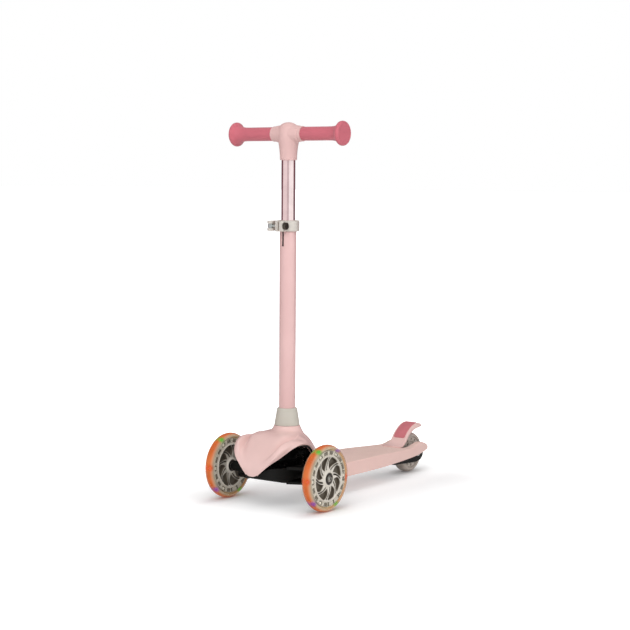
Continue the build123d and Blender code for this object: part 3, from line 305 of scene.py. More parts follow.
class Finish:
    """A procedural surface: one principled shader and what drives it."""

    def __init__(self, name):
        self.mat = bpy.data.materials.new(name)
        self.mat.use_nodes = True
        self.tree = self.mat.node_tree
        self.tree.nodes.clear()
        out = self.tree.nodes.new("ShaderNodeOutputMaterial")
        self.shader = self.tree.nodes.new("ShaderNodeBsdfPrincipled")
        self.tree.links.new(self.shader.outputs[0], out.inputs[0])
        self.where = self.tree.nodes.new("ShaderNodeTexCoord").outputs["Object"]

    def put(self, socket, value):
        if hasattr(value, "is_linked") or isinstance(value, bpy.types.NodeSocket):
            self.tree.links.new(value, socket)
        else:
            socket.default_value = value

    def set(self, **values):
        for key, value in values.items():
            self.put(self.shader.inputs[key.replace("_", " ")], value)
        return self

    def add(self, kind, **values):
        n = self.tree.nodes.new("ShaderNode" + kind)
        for key, value in values.items():
            if key in n.inputs:
                self.put(n.inputs[key], value)
            else:
                setattr(n, key, value)
        return n

    def noise(self, scale, detail=2.0, rough=0.5, vector=None, stretch=None):
        v = self.where if vector is None else vector
        if stretch:
            v = self.add("Mapping", Vector=v, Scale=stretch).outputs[0]
        n = self.add("TexNoise", Vector=v, Scale=scale, Detail=detail, Roughness=rough)
        return n.outputs["Fac"]

    def cells(self, scale, feature="F1", stretch=None):
        v = self.where
        if stretch:
            v = self.add("Mapping", Vector=v, Scale=stretch).outputs[0]
        n = self.add("TexVoronoi", feature=feature, Vector=v, Scale=scale)
        return n.outputs["Distance"]

    def ramp(self, fac, *stops, mode="LINEAR"):
        n = self.add("ValToRGB", Fac=fac)
        n.color_ramp.interpolation = mode
        e = n.color_ramp.elements
        while len(e) < len(stops):
            e.new(0.5)
        for el, (pos, col) in zip(e, stops):
            el.position = pos
            el.color = col
        return n.outputs["Color"]

    def span(self, value, a, b, c, d, smooth=False):
        n = self.add("MapRange", Value=value)
        n.interpolation_type = "SMOOTHSTEP" if smooth else "LINEAR"
        for i, x in enumerate((a, b, c, d)):
            n.inputs[i + 1].default_value = x
        return n.outputs[0]

    def math(self, op, a, b=0.0):
        n = self.add("Math", operation=op)
        self.put(n.inputs[0], a)
        self.put(n.inputs[1], b)
        return n.outputs[0]

    def blend(self, fac, a, b, how="MIX"):
        n = self.add("MixRGB", blend_type=how)
        self.put(n.inputs[0], fac)
        self.put(n.inputs[1], a)
        self.put(n.inputs[2], b)
        return n.outputs[0]

    def bump(self, height, strength, distance, normal=None):
        n = self.add("Bump", Height=height, Strength=strength, Distance=distance)
        if normal is not None:
            self.put(n.inputs["Normal"], normal)
        return n.outputs[0]

    def axes(self):
        n = self.add("SeparateXYZ", Vector=self.where)
        return n.outputs[0], n.outputs[1], n.outputs[2]


def moulded(name, colour, rough=0.4, spread=0.08, tone=0.035, grain=1400.0, depth=0.00004, strength=0.25, **sockets):
    """Moulded plastic: slight flow tone, fine spark-eroded grain."""
    f = Finish(name)
    flow = f.noise(22.0, 3.0, 0.55)
    speck = f.noise(grain * 0.8, 2.0, 0.6)
    tint = f.ramp(flow, (0.3, times(colour, 1 - tone)), (0.7, times(colour, 1 + tone)))
    tint = f.blend(f.span(speck, 0.35, 0.65, 0.0, 0.10), tint, times(colour, 0.86))
    cloud = f.noise(60.0, 4.0, 0.6)
    f.set(Base_Color=tint, Roughness=f.span(cloud, 0.3, 0.7, rough - spread / 2, rough + spread / 2))
    f.set(Normal=f.bump(f.noise(grain, 3.0, 0.6), strength, depth))
    f.set(**sockets)
    return f


def metal(name, colour, rough=0.25, spread=0.1, scale=(60.0, 60.0, 60.0), depth=0.00001, **sockets):
    """Plated or turned steel: fine drawn lines and faint blotches."""
    f = Finish(name)
    lines = f.noise(40.0, 4.0, 0.6, stretch=scale)
    blot = f.noise(45.0, 3.0, 0.5)
    tint = f.ramp(blot, (0.3, times(colour, 0.9)), (0.7, times(colour, 1.06)))
    f.set(Base_Color=tint, Metallic=1.0, Roughness=f.span(lines, 0.3, 0.7, rough - spread / 2, rough + spread / 2))
    f.set(Normal=f.bump(lines, 0.2, depth))
    f.set(**sockets)
    return f


# ---------------------------------------------------------------------------
# finishes
# ---------------------------------------------------------------------------
PINK = srgb(236, 197, 192)
ROSE = srgb(203, 102, 115)

M = {}
f = moulded("nose_pink", srgb(234, 197, 191), rough=0.34, grain=1900.0, depth=0.00002)
f.set(Coat_Weight=0.25, Coat_Roughness=0.22, IOR=1.5)
M["nose_pink"] = f.mat

f = moulded("tee_pink", srgb(225, 185, 181), rough=0.5, grain=1600.0, depth=0.00004)
M["tee_pink"] = f.mat

# painted tube: orange peel under a clear coat
f = Finish("tube_paint")
peel = f.noise(420.0, 2.0, 0.5)
drift = f.noise(9.0, 2.0, 0.5)
f.set(Base_Color=f.ramp(drift, (0.3, srgb(225, 183, 180)), (0.7, srgb(232, 191, 188))))
f.set(Roughness=f.span(f.noise(70.0, 4.0, 0.6), 0.3, 0.7, 0.3, 0.38))
f.set(Normal=f.bump(peel, 0.12, 0.00006), Coat_Weight=0.35, Coat_Roughness=0.12)
M["tube_paint"] = f.mat

# deck: satin sides, matt anti-slip top
f = Finish("deck_plastic")
x, y, z = f.axes()
facing = f.add("SeparateXYZ", Vector=f.add("NewGeometry").outputs["Normal"]).outputs[2]
top = f.math("MULTIPLY", f.span(facing, 0.80, 0.93, 0.0, 1.0), f.span(z, 0.0500, 0.0520, 0.0, 1.0))
flow = f.noise(16.0, 3.0, 0.55)
side = f.ramp(flow, (0.3, srgb(236, 197, 188)), (0.7, srgb(241, 204, 195)))
grit = f.noise(1150.0, 3.0, 0.65)
pebble = f.cells(760.0)
deck_top = f.ramp(f.math("ADD", f.math("MULTIPLY", grit, 0.7), f.math("MULTIPLY", flow, 0.3)), (0.3, srgb(221, 189, 178)), (0.7, srgb(242, 210, 200)))
f.set(Base_Color=f.blend(top, side, deck_top))
f.set(Roughness=f.math("ADD", f.math("MULTIPLY", top, 0.34), f.span(f.noise(60.0, 4.0, 0.6), 0.3, 0.7, 0.36, 0.46)))
fine = f.bump(f.noise(1700.0, 2.0, 0.6), 0.2, 0.00003)
rough_top = f.bump(f.math("MULTIPLY", f.math("ADD", f.math("MULTIPLY", pebble, 1.1), grit), top), 0.75, 0.00045, fine)
f.set(Normal=rough_top)
M["deck_plastic"] = f.mat

f = moulded("rose_rubber", ROSE, rough=0.44, spread=0.1, tone=0.04, grain=2100.0, depth=0.00005, strength=0.4)
f.set(Sheen_Weight=0.12, Sheen_Roughness=0.5)
M["rose_rubber"] = f.mat

# tread pad: fine crossed ribs
f = Finish("rose_pad")
x, y, z = f.axes()
w1 = f.add("TexWave", Vector=f.add("Mapping", Vector=f.where, Rotation=(0.0, 0.0, math.radians(45))).outputs[0], Scale=190.0, Distortion=0.0)
w2 = f.add("TexWave", Vector=f.add("Mapping", Vector=f.where, Rotation=(0.0, 0.0, math.radians(-45))).outputs[0], Scale=190.0, Distortion=0.0)
knurl = f.math("MULTIPLY", w1.outputs["Fac"], w2.outputs["Fac"])
f.set(Base_Color=f.blend(f.span(knurl, 0.0, 1.0, 0.0, 0.5), f.ramp(f.noise(60.0, 3.0), (0.3, srgb(196, 106, 114)), (0.7, srgb(206, 116, 123))), srgb(216, 130, 136)))
f.set(Roughness=f.span(f.noise(300.0, 3.0), 0.3, 0.7, 0.52, 0.66), Normal=f.bump(knurl, 0.35, 0.0002))
M["rose_pad"] = f.mat

f = moulded("collar_grey", srgb(197, 192, 180), rough=0.42, grain=1700.0)
M["collar_grey"] = f.mat

f = moulded("clamp_grey", srgb(213, 204, 195), rough=0.4, grain=1200.0, depth=0.00005, strength=0.3)
f.set(Metallic=0.25)
M["clamp_grey"] = f.mat

f = metal("dark_steel", srgb(92, 84, 76), rough=0.3, spread=0.14)
M["dark_steel"] = f.mat
f = metal("black_steel", srgb(44, 42, 40), rough=0.5, spread=0.14)
M["black_steel"] = f.mat
f = metal("zinc_steel", srgb(188, 187, 184), rough=0.3, spread=0.14)
M["zinc_steel"] = f.mat
f = metal("bolt_chrome", srgb(168, 162, 154), rough=0.18, spread=0.08)
M["bolt_chrome"] = f.mat
f = metal("spring_steel", srgb(150, 148, 145), rough=0.3, spread=0.12)
M["spring_steel"] = f.mat
f = Finish("bearing_steel")
x, y, z = f.axes()
radius = f.math("SQRT", f.math("ADD", f.math("MULTIPLY", x, x), f.math("MULTIPLY", z, z)))
rings = f.ramp(f.span(radius, 0.0, 0.012, 0.0, 1.0), (0.0, srgb(150, 142, 132)), (0.515, srgb(140, 132, 122)), (0.535, srgb(34, 29, 25)), (0.765, srgb(46, 40, 35)), (0.785, srgb(168, 160, 148)), (0.815, srgb(84, 76, 68)), (0.92, srgb(70, 62, 55)))
f.set(Base_Color=f.blend(f.span(f.noise(240.0, 3.0), 0.3, 0.7, 0.0, 0.35), rings, srgb(52, 46, 41)), Metallic=0.55)
f.set(Roughness=f.span(f.noise(320.0, 3.0), 0.3, 0.7, 0.32, 0.48), Normal=f.bump(f.noise(900.0, 2.0), 0.15, 0.00002))
M["bearing_steel"] = f.mat
f = metal("magnet_metal", srgb(120, 120, 122), rough=0.4, spread=0.12)
M["magnet_metal"] = f.mat

f = metal("rose_chrome", srgb(250, 214, 211), rough=0.075, spread=0.03, scale=(30.0, 30.0, 0.4), depth=0.000003)
M["rose_chrome"] = f.mat

f = moulded("black_plastic", srgb(17, 16, 14), rough=0.6, spread=0.12, tone=0.1, grain=1300.0, depth=0.00006, strength=0.35)
f.set(Specular_IOR_Level=0.22)
M["black_plastic"] = f.mat


def hub_finish(name, colour, recess_shade, low, high):
    """Pale moulded plastic with painted shade: its colour darkens down in its recesses."""
    f = Finish(name)
    x, y, z = f.axes()
    # painted shade: towards the recess floors the colour goes to the dark shade colour
    depth = f.span(f.math("ABSOLUTE", y), low, high, 0.0, 1.0, smooth=True)
    flow = f.noise(40.0, 3.0, 0.55)
    tint = f.ramp(flow, (0.3, times(colour, 0.96)), (0.7, times(colour, 1.04)))
    f.set(Base_Color=f.blend(depth, recess_shade, tint))
    f.set(Roughness=f.span(f.noise(90.0, 4.0), 0.3, 0.7, 0.34, 0.46))
    f.set(Normal=f.bump(f.noise(1600.0, 3.0, 0.6), 0.2, 0.00003))
    return f


# the dark second colours are painted recess shade
M["hub_grey"] = hub_finish("hub_grey", srgb(222, 215, 203), srgb(100, 91, 78), 0.0052, 0.0070).mat
M["core_grey"] = hub_finish("core_grey", srgb(222, 215, 203), srgb(84, 77, 67), 0.0060, 0.0078).mat
M["rear_hub"] = hub_finish("rear_hub", srgb(204, 192, 181), srgb(70, 60, 54), 0.0010, 0.0078).mat

f = moulded("rear_pu", srgb(190, 178, 168), rough=0.34, spread=0.1, grain=900.0, depth=0.00005)
f.set(Subsurface_Weight=0.08, Subsurface_Radius=(0.004, 0.003, 0.002))
M["rear_pu"] = f.mat

# lit front tyres: clear cast ring over the core, orange glow in the tread band
LEDS = (
    (-5.0, 0.0568, (1.0, 0.10, 0.015, 1.0)), (58.0, 0.0568, (0.30, 0.06, 0.55, 1.0)), (119.0, 0.0568, (0.09, 0.62, 0.05, 1.0)),
    (178.0, 0.0600, (1.0, 0.11, 0.015, 1.0)), (223.0, 0.0572, (0.32, 0.07, 0.52, 1.0)), (297.0, 0.0568, (0.16, 0.62, 0.04, 1.0)),
)


def lamp_spots(f, x, y, z, base, lit, inner, outer, share, level):
    """Puts the coloured lamps over a base and an emission colour."""
    for angle, at, colour in LEDS:
        a = math.radians(angle)
        d = f.add("VectorMath", operation="DISTANCE")
        f.put(d.inputs[0], f.add("CombineXYZ", X=x, Y=f.math("ABSOLUTE", y), Z=z).outputs[0])
        d.inputs[1].default_value = (-at * math.cos(a), 0.0058, at * math.sin(a))
        near = f.span(d.outputs["Value"], inner, outer, share, 0.0, smooth=True)
        base = f.blend(near, base, times(colour, 0.75))
        lit = f.blend(near, lit, times(colour, level))
    return base, lit


f = Finish("tyre_glow")
x, y, z = f.axes()
radius = f.math("SQRT", f.math("ADD", f.math("MULTIPLY", x, x), f.math("MULTIPLY", z, z)))
turn = f.noise(26.0, 2.0, 0.5)
# painted glow: the orange base colour stands for the LEDs' light in the tread band
band = f.ramp(turn, (0.25, srgb(200, 94, 38)), (0.55, srgb(212, 104, 42)), (0.8, srgb(222, 120, 54)))
glow = (0.80, 0.17, 0.02, 1.0)
lit = f.blend(f.span(f.noise(34.0, 2.0), 0.3, 0.7, 0.0, 1.0), times(glow, 0.66), glow)
# painted highlight: a bright line in the glow at radius 56.6 mm
painted_highlight_line = f.span(f.math("ABSOLUTE", f.math("SUBTRACT", radius, 0.0566)), 0.0003, 0.0011, 0.45, 0.0, smooth=True)
lit = f.blend(painted_highlight_line, lit, (0.95, 0.36, 0.07, 1.0))
flank = f.math("MAXIMUM", f.span(radius, 0.0530, 0.0562, 0.85, 0.0, smooth=True), f.span(f.math("ABSOLUTE", y), 0.0042, 0.0077, 0.0, 0.7, smooth=True))
band = f.blend(flank, band, srgb(222, 200, 150))
lit = f.blend(flank, lit, (0.42, 0.27, 0.11, 1.0))
band, lit = lamp_spots(f, x, y, z, band, lit, 0.0010, 0.0104, 1.0, 2.4)
f.set(Base_Color=band, Roughness=f.span(f.noise(120.0, 4.0), 0.3, 0.7, 0.3, 0.45))
f.set(Normal=f.bump(f.noise(240.0, 3.0), 0.12, 0.00012))
f.set(Emission_Color=lit, Emission_Strength=0.10)
M["tyre_glow"] = f.mat

# the cast ring itself: nearly clear over the core, milky on the flank, painted orange LED glow on the tread
f = Finish("tyre_clear")
x, y, z = f.axes()
radius = f.math("SQRT", f.math("ADD", f.math("MULTIPLY", x, x), f.math("MULTIPLY", z, z)))
milk = f.ramp(f.noise(60.0, 3.0), (0.3, srgb(208, 199, 174)), (0.7, srgb(222, 213, 190)))
tread_band = f.span(radius, 0.0548, 0.0594, 0.0, 1.0)
# painted glow: the orange over the tread stands for the LEDs' light
tint = f.blend(tread_band, milk, f.ramp(f.noise(30.0, 2.0), (0.3, srgb(212, 106, 50)), (0.7, srgb(228, 128, 62))))
lit = f.blend(tread_band, (0.30, 0.25, 0.16, 1.0), (0.85, 0.20, 0.03, 1.0))
tint, lit = lamp_spots(f, x, y, z, tint, lit, 0.0010, 0.0094, 0.9, 2.4)
f.set(Base_Color=tint, Emission_Color=lit, Emission_Strength=0.10)
f.set(Roughness=f.span(f.noise(140.0, 3.0), 0.3, 0.7, 0.10, 0.2), Normal=f.bump(f.noise(260.0, 3.0), 0.1, 0.0001))
f.set(Alpha=f.span(radius, 0.0515, 0.0560, 0.10, 0.55, smooth=True), IOR=1.46)
M["tyre_clear"] = f.mat

f = Finish("led_lens")
f.set(Base_Color=f.ramp(f.noise(400.0), (0.3, srgb(244, 240, 226)), (0.7, srgb(252, 248, 236))), Roughness=f.span(f.noise(500.0), 0.3, 0.7, 0.12, 0.25))
f.set(Emission_Color=(1.0, 0.82, 0.62, 1.0), Emission_Strength=0.08)
M["led_lens"] = f.mat

# which finish each CAD piece that stays takes
KEEP = {
    "deck": "deck_plastic", "front_carrier": "black_plastic", "rear_fork": "black_plastic",
    "steering_block": "black_plastic", "tie_rod": "black_plastic", "glide_bush": "black_plastic",
    "left_knuckle": "black_plastic", "right_knuckle": "black_plastic",
    "lean_pivot_bolt": "black_steel", "lean_pivot_nut": "black_steel", "kingpins": "black_steel", "deck_screws": "zinc_steel",
    "fork_screws": "zinc_steel", "rear_axle_bolt": "zinc_steel", "rear_axle_nut": "zinc_steel", "rear_spacers": "zinc_steel",
    "brake_hinge_pin": "zinc_steel", "nose_screws": "black_steel", "stem_bolt": "black_steel", "stem_nut": "black_steel",
    "t_piece_screw": "dark_steel", "clamp_bolt": "zinc_steel", "clamp_nut": "dark_steel", "clamp_lever_pin": "dark_steel",
    "lean_spring_left": "black_steel", "lean_spring_right": "black_steel", "brake_spring": "spring_steel",
    "crossbar": "zinc_steel", "rear_bearings": "dark_steel", 
    "left_magnet_sleeve": "magnet_metal", "right_magnet_sleeve": "magnet_metal",
    "left_tie_pin": "black_steel", "right_tie_pin": "black_steel",
    "left_leds": "led_lens", "right_leds": "led_lens",
}


def dress(ob, *names):
    ob.data.materials.clear()
    for n in names:
        ob.data.materials.append(M[n])
    return ob


for name, finish in KEEP.items():
    dress(nodes[name], finish)

# ---------------------------------------------------------------------------
# stem
# ---------------------------------------------------------------------------
loop = rounded([(15.0, 97.2), (15.0, 511.9), (12.65, 511.9), (12.65, 97.2)], 0.5, 3)
tube = lathe("stem_tube", loop, "z", (XS, 0, 0), 128)
slot_line = [(-1.6, 530.0), (1.6, 530.0), (1.6, 470.6)]
slot_line += [(2.2 * math.cos(a), 469.0 + 2.2 * math.sin(a)) for a in [math.radians(mix(46, -226, k / 16)) for k in range(17)]]
slot_line += [(-1.6, 470.6)]
side = Matrix(((0, 0, 1, XS + 10.0), (1, 0, 0, 0), (0, 1, 0, 0), (0, 0, 0, 1)))
cutter = plate("slot_cutter", [slot_line], 9.0, 0.0, side)
cut(tube, cutter)
# painted shade: the bore and the slot walls take dark steel so the slot reads as a shaded gap
dress(tube, "tube_paint", "black_steel")
for q in tube.data.polygons:
    if math.hypot(q.center.x - XS * MM, q.center.y) < 14.7 * MM and abs(q.normal.z) < 0.9:
        q.material_index = 1
wear(tube, "steering_head", "pink_paint", "outer_tube")

loop = rounded([(12.5, 360.0), (12.5, 655.0), (11.0, 655.0), (11.0, 360.0)], 0.4, 3)
pole = lathe("height_tube", loop, "z", (XS, 0, 0), 128)
wear(dress(pole, "rose_chrome"), "handlebar", "rose_chrome", "inner_tube")

loop = rounded(
    [(21.1, 141.8), (23.0, 141.8), (22.8, 145.0), (18.4, 171.6), (17.0, 173.4), (15.08, 173.4), (15.08, 160.2), (18.4, 160.2), (21.1, 146.0)],
    [0.2, 0.5, 6.0, 2.0, 0.9, 0.4, 0.2, 0.2, 0.2], 6)
collar = lathe("collar", loop, "z", (XS, 0, 0), 128)
wear(dress(collar, "collar_grey"), "steering_head", "warm_grey_plastic", "stem_collar")

# ---------------------------------------------------------------------------
# quick clamp
# ---------------------------------------------------------------------------
R_RING, R_BORE = 20.5, 15.03
ear = 9.5
a0 = math.asin(ear / R_RING)
outline = rounded([(29.0, 1.5), (29.0, ear), (R_RING * math.cos(a0) + 0.4, ear)], [0.3, 3.4, 0.0], 6, closed=False)
outline = [(29.0, 1.5)] + rounded([(29.0, 1.5), (29.0, ear), (16.0, ear)], [0, 3.4, 0], 6, closed=False)[1:-1]
outline += [(R_RING * math.cos(a), R_RING * math.sin(a)) for a in [mix(a0, 2 * math.pi - a0, k / 72) for k in range(73)]]
outline += rounded([(16.0, -ear), (29.0, -ear), (29.0, -1.5)], [0, 3.4, 0], 6, closed=False)[1:]
b0 = math.asin(1.5 / R_BORE)
outline += [(R_BORE * math.cos(a), R_BORE * math.sin(a)) for a in [mix(-b0, b0 - 2 * math.pi, k / 72) for k in range(73)]]
ring = plate("clamp_band", [outline], 10.0, 2.5, Matrix.Translation((XS, 0, 504.0)), 5)
bolt_way = lathe("bolt_way", [(0, -20), (3.06, -20), (3.06, 20), (0, 20)], "y", (XS + 23.5, 0, 504.0), 32, closed=False)
cut(ring, bolt_way)
spot_face = lathe("spot_face", [(0, 9.5), (7.2, 9.5), (7.2, 26), (0, 26)], "y", (XS + 23.5, 0, 504.0), 48, closed=False)
cut(ring, spot_face)
lip = lathe("clamp_lip", rounded([(15.4, 512.1), (15.4, 513.9), (12.6, 513.9), (12.6, 512.1)], 0.25, 2), "z", (XS, 0, 0), 96)
ring = join("clamp_band", ring, lip)
wear(dress(ring, "clamp_grey"), "steering_head", "grey_alloy", "clamp_ring")

XE, YP = XS + 23.5, -21.5
outer_side = curve_line([(XE + 2.0, YP - 6.0), (XE - 12, YP - 6.6), (XS - 6, YP - 6.2), (XS - 22, YP - 2.4)], 10)
tail = [(XS - 22, YP - 2.4), (XS - 23.7, YP - 1.4), (XS - 24.2, YP + 0.3), (XS - 23.2, YP + 1.5), (XS - 21.4, YP + 1.6)]
inner_side = curve_line([(XS - 21.4, YP + 1.6), (XS - 8, YP - 2.0), (XE - 12, YP - 1.4), (XE - 5.2, YP + 3.2)], 10)
eye = [(XE + 6.2 * math.cos(a), YP + 6.2 * math.sin(a)) for a in [math.radians(mix(149, -72, k / 28)) for k in range(29)]]
outline = outer_side[1:] + tail[1:-1] + inner_side[:-1] + eye
lever = plate("quick_lever", [outline], 9.2, 1.3, Matrix.Translation((0, 0, 504.0)), 4)
gap = plate("gap", [[(XE + 6.9 * math.cos(a), YP + 6.9 * math.sin(a)) for a in [2 * math.pi * k / 48 for k in range(48)]]], 4.0, 0.0, Matrix.Translation((0, 0, 504.0)))
cut(lever, gap)
gap = plate("gap", [[(XE - 4.8, YP), (XE + 7.2, YP), (XE + 7.2, YP + 12), (XE - 4.8, YP + 12)]], 4.0, 0.0, Matrix.Translation((0, 0, 504.0)))
cut(lever, gap)
pin_way = lathe("pin_way", [(0, 490), (2.56, 490), (2.56, 518), (0, 518)], "z", (XE, YP, 0), 32, closed=False)
cut(lever, pin_way)
wear(dress(lever, "clamp_grey"), "clamp_lever", "grey_alloy", "clamp_lever")

# ---------------------------------------------------------------------------
# handlebar
# ---------------------------------------------------------------------------
upright = curve_line([
    (15.35, 623.0), (15.7, 632.0), (16.7, 643.0), (18.2, 653.0), (19.5, 662.0), (19.7, 670.0), (18.0, 679.0), (13.4, 685.6),
    (7.0, 689.0), (0.0, 690.1),
], 6)
body = lathe("tee_body", [(0.0, 622.0), (14.7, 622.0), (15.2, 622.4)] + upright, "z", (XS, 0, 0), 96, closed=False)
arm = [(0, -26.2), (13.9, -26.2), (14.5, -25.6)] + curve_line([(14.6, -25.0), (15.2, -20.0), (16.4, -14.0), (17.6, -6.0), (17.8, 0.0), (17.6, 6.0), (16.4, 14.0), (15.2, 20.0), (14.6, 25.0)], 5) + [(14.5, 25.6), (13.9, 26.2), (0, 26.2)]
arms = lathe("tee_arms", arm, "y", (XS, 0, Z_BAR), 96, closed=False)
tee = join("tee", body, arms)
rm = tee.modifiers.new("skin", "REMESH")
rm.mode = "VOXEL"
rm.voxel_size = 0.55 * MM
sm = tee.modifiers.new("ease", "SMOOTH")
sm.factor = 0.5
sm.iterations = 14
settle(tee, 60.0)
bores = lathe("bores", [(0, 600), (12.53, 600), (12.53, 655.2), (0, 655.2)], "z", (XS, 0, 0), 64, closed=False)
cut(tee, bores)
bores = lathe("bores", [(0, -60), (11.03, -60), (11.03, 60), (0, 60)], "y", (XS, 0, Z_BAR), 64, closed=False)
cut(tee, bores)
screw_way = Matrix(((0, 0, 1, XS - 23.0), (1, 0, 0, 0), (0, 1, 0, 637.0), (0, 0, 0, 1)))
hole = plate("screw_way", [[(3.8 * math.cos(a), 3.8 * math.sin(a)) for a in [2 * math.pi * k / 40 for k in range(40)]]], 8.0, 0.0, screw_way)
cut(tee, hole)
rims = []
for s in (1, -1):
    loop = rounded([(11.04, s * 22.0), (13.7, s * 22.0), (13.7, s * 33.0), (11.04, s * 33.0)], [0.1, 0.1, 0.9, 0.2], 4)
    rims.append(lathe("tee_rim", loop, "y", (XS, 0, Z_BAR), 96))
tee = join("tee", tee, *rims)
wear(dress(shade(tee, 50.0), "tee_pink"), "handlebar", "pink_gloss", "t_piece")

grip_line = curve_line([
    (12.4, 34.2), (12.4, 60.0), (12.4, 92.0), (12.7, 99.0), (13.8, 105.5), (16.2, 111.2), (19.6, 114.8), (21.5, 116.8), (22.0, 118.8),
    (21.8, 120.8), (20.9, 122.4), (19.6, 123.3),
], 6)
grip_loop = [(11.04, 33.2), (11.9, 33.2), (12.3, 33.5)] + grip_line + rounded(
    [(19.6, 123.3), (18.8, 123.5), (18.1, 123.2), (17.3, 122.9), (16.6, 123.2), (15.6, 123.35), (8.0, 123.1), (0.0, 123.0)], 0.8, 3, closed=False)[1:]
for name, s in (("left_grip", 1), ("right_grip", -1)):
    loop = [(r, s * h) for r, h in grip_loop] + [(0.0, s * 119.1), (11.04, s * 119.1)]
    g = lathe(name + "_rubber", loop, "y", (XS, 0, Z_BAR), 112)
    wear(dress(g, "rose_rubber"), "handlebar", "rose_rubber", name)

# ---------------------------------------------------------------------------
# nose
# ---------------------------------------------------------------------------
def soft(t, knee):
    return (math.sqrt(1 + (t / knee) ** 2) - 1) / (math.sqrt(1 + 1 / knee ** 2) - 1)


# rows from the rear edge to the tip; on each row the middle, the shoulder of the
# hood, the valley beside it, the crest and the flank of the lobe, the arch edge
REAR_ROWS = (
    (-104.0, 80.0, -86.0, 48.0, 80.0), (-97.0, 92.0, -70.0, 53.0, 82.0), (-87.0, 108.0, -54.0, 58.0, 85.0),
    (-73.0, 124.0, -39.0, 63.0, 92.0), (-54.0, 135.0, -26.0, 67.5, 102.0),
)
LOBE_ROWS = (
    ((-33.0, 0.0, 138.0), (-29.0, 27.0, 132.2), (-23.0, 36.5, 128.8), (-17.0, 44.5, 126.4), (-14.5, 58.0, 121.8), (-13.0, 70.0, 112.5)),
    ((-10.0, 0.0, 134.6), (-8.0, 34.0, 130.4), (-4.0, 43.0, 124.6), (-1.0, 48.5, 124.4), (0.0, 61.0, 122.0), (1.0, 71.0, 118.0)),
    ((12.0, 0.0, 131.6), (12.5, 34.0, 130.8), (14.0, 43.8, 119.6), (15.0, 51.0, 124.6), (15.5, 62.0, 122.8), (15.0, 69.0, 118.0)),
    ((30.0, 0.0, 125.4), (30.3, 31.0, 125.2), (30.6, 41.6, 114.4), (30.5, 51.0, 123.4), (31.5, 60.0, 120.4), (30.0, 64.0, 112.5)),
    ((45.5, 0.0, 112.4), (46.0, 26.5, 111.6), (45.0, 38.6, 107.8), (44.0, 48.6, 119.4), (46.4, 56.2, 113.2), (44.0, 56.5, 103.0)),
    ((57.5, 0.0, 98.6), (57.8, 19.5, 98.5), (56.9, 33.4, 99.8), (55.0, 44.2, 110.8), (57.8, 50.0, 103.0), (55.0, 48.0, 93.5)),
    ((65.5, 0.0, 86.0), (65.6, 15.0, 86.2), (64.6, 26.0, 90.2), (62.6, 36.8, 97.6), (65.2, 41.0, 92.0), (62.5, 39.0, 86.0)),
    ((69.6, 0.0, 75.5), (69.6, 10.5, 75.8), (68.9, 18.5, 78.8), (67.2, 26.4, 84.0), (68.2, 30.2, 81.0), (67.0, 30.0, 78.0)),
    ((71.4, 0.0, 67.0), (71.4, 7.0, 67.2), (70.9, 12.6, 69.2), (69.9, 18.4, 73.4), (70.2, 20.9, 71.9), (69.4, 21.0, 70.0)),
    ((71.8, 0.0, 60.5), (71.8, 4.0, 60.6), (71.5, 7.4, 61.2), (71.0, 11.0, 63.2), (71.0, 12.7, 63.0), (70.6, 13.0, 62.5)),
)
rows = []
for xc, zc, xe, ye, ze in REAR_ROWS:
    row = []
    for k in range(6):
        t = (0.0, 0.38, 0.58, 0.74, 0.88, 1.0)[k]
        row.append((xc + (xe - xc) * t * t, ye * t, zc + (ze - zc) * soft(t, 0.25)))
    rows.append(row)
rows += [list(r) for r in LOBE_ROWS]
PER = 24
nose_rows = curve_line([tuple(v for q in row for v in q) for row in rows], PER)


def nose_row(s):
    k = min(max(s, 0.0), 14.0) * PER
    i = min(int(k), len(nose_rows) - 2)
    return [mix(a, b, k - i) for a, b in zip(nose_rows[i], nose_rows[i + 1])]


def skin(s, t):
    """Point of the nose: row s from 0 to 14, share t of the half width."""
    row = nose_row(s)

    def knot(i):
        if i > 5:
            a, b = knot(5), knot(4)
            return [2 * u - v for u, v in zip(a, b)]
        if i < 0:
            return [row[-3 * i], -row[-3 * i + 1], row[-3 * i + 2]]
        return [row[3 * i], row[3 * i + 1], row[3 * i + 2]]

    a = min(abs(t), 1.0) * 5
    i = min(int(a), 4)
    f = a - i
    p0, p1, p2, p3 = knot(i - 1), knot(i), knot(i + 1), knot(i + 2)
    out = [0.5 * (2 * v1 + (v2 - v0) * f + (2 * v0 - 5 * v1 + 4 * v2 - v3) * f * f + (3 * v1 - v0 - 3 * v2 + v3) * f ** 3)
           for v0, v1, v2, v3 in zip(p0, p1, p2, p3)]
    return XF + out[0], out[1] if t >= 0 else -out[1], out[2]


neck = table([(21.0, 141.6), (23.3, 141.5), (24.0, 140.6), (25.2, 137.6), (28.6, 130.0), (32.5, 119.0), (37.0, 104.0), (44.0, 78.0), (52.0, 40.0)])


def nose_at(s, t):
    x, y, z = skin(s, t)
    rho = math.hypot(x - XS, y)
    if rho < 50:
        n = neck(rho)
        h = max(6.0 - abs(z - n), 0.0) / 6.0
        z = max(z, n) + h * h * 6.0 * 0.25 * step(22.5, 27.0, rho)
        z = min(z, mix(141.5, 200.0, step(23.4, 23.8, rho)))
    return x, y, z


guess = [(i * 0.25, j * 0.05) + skin(i * 0.25, j * 0.05)[:2] for i in range(4, 40) for j in range(-18, 19)]


def nose_share(x, y):
    """Row and share of the nose net over a point near the stem."""
    s, t = min((((g[2] - x) ** 2 + (g[3] - y) ** 2), g[0], g[1]) for g in guess)[1:]
    for _ in range(6):
        p, ps, pt = skin(s, t), skin(s + 0.01, t), skin(s, t + 0.002)
        a, b = (ps[0] - p[0]) / 0.01, (pt[0] - p[0]) / 0.002
        c, d = (ps[1] - p[1]) / 0.01, (pt[1] - p[1]) / 0.002
        ex, ey, det = x - p[0], y - p[1], a * d - b * c
        s += (ex * d - ey * b) / det
        t += (a * ey - c * ex) / det
    return s, t


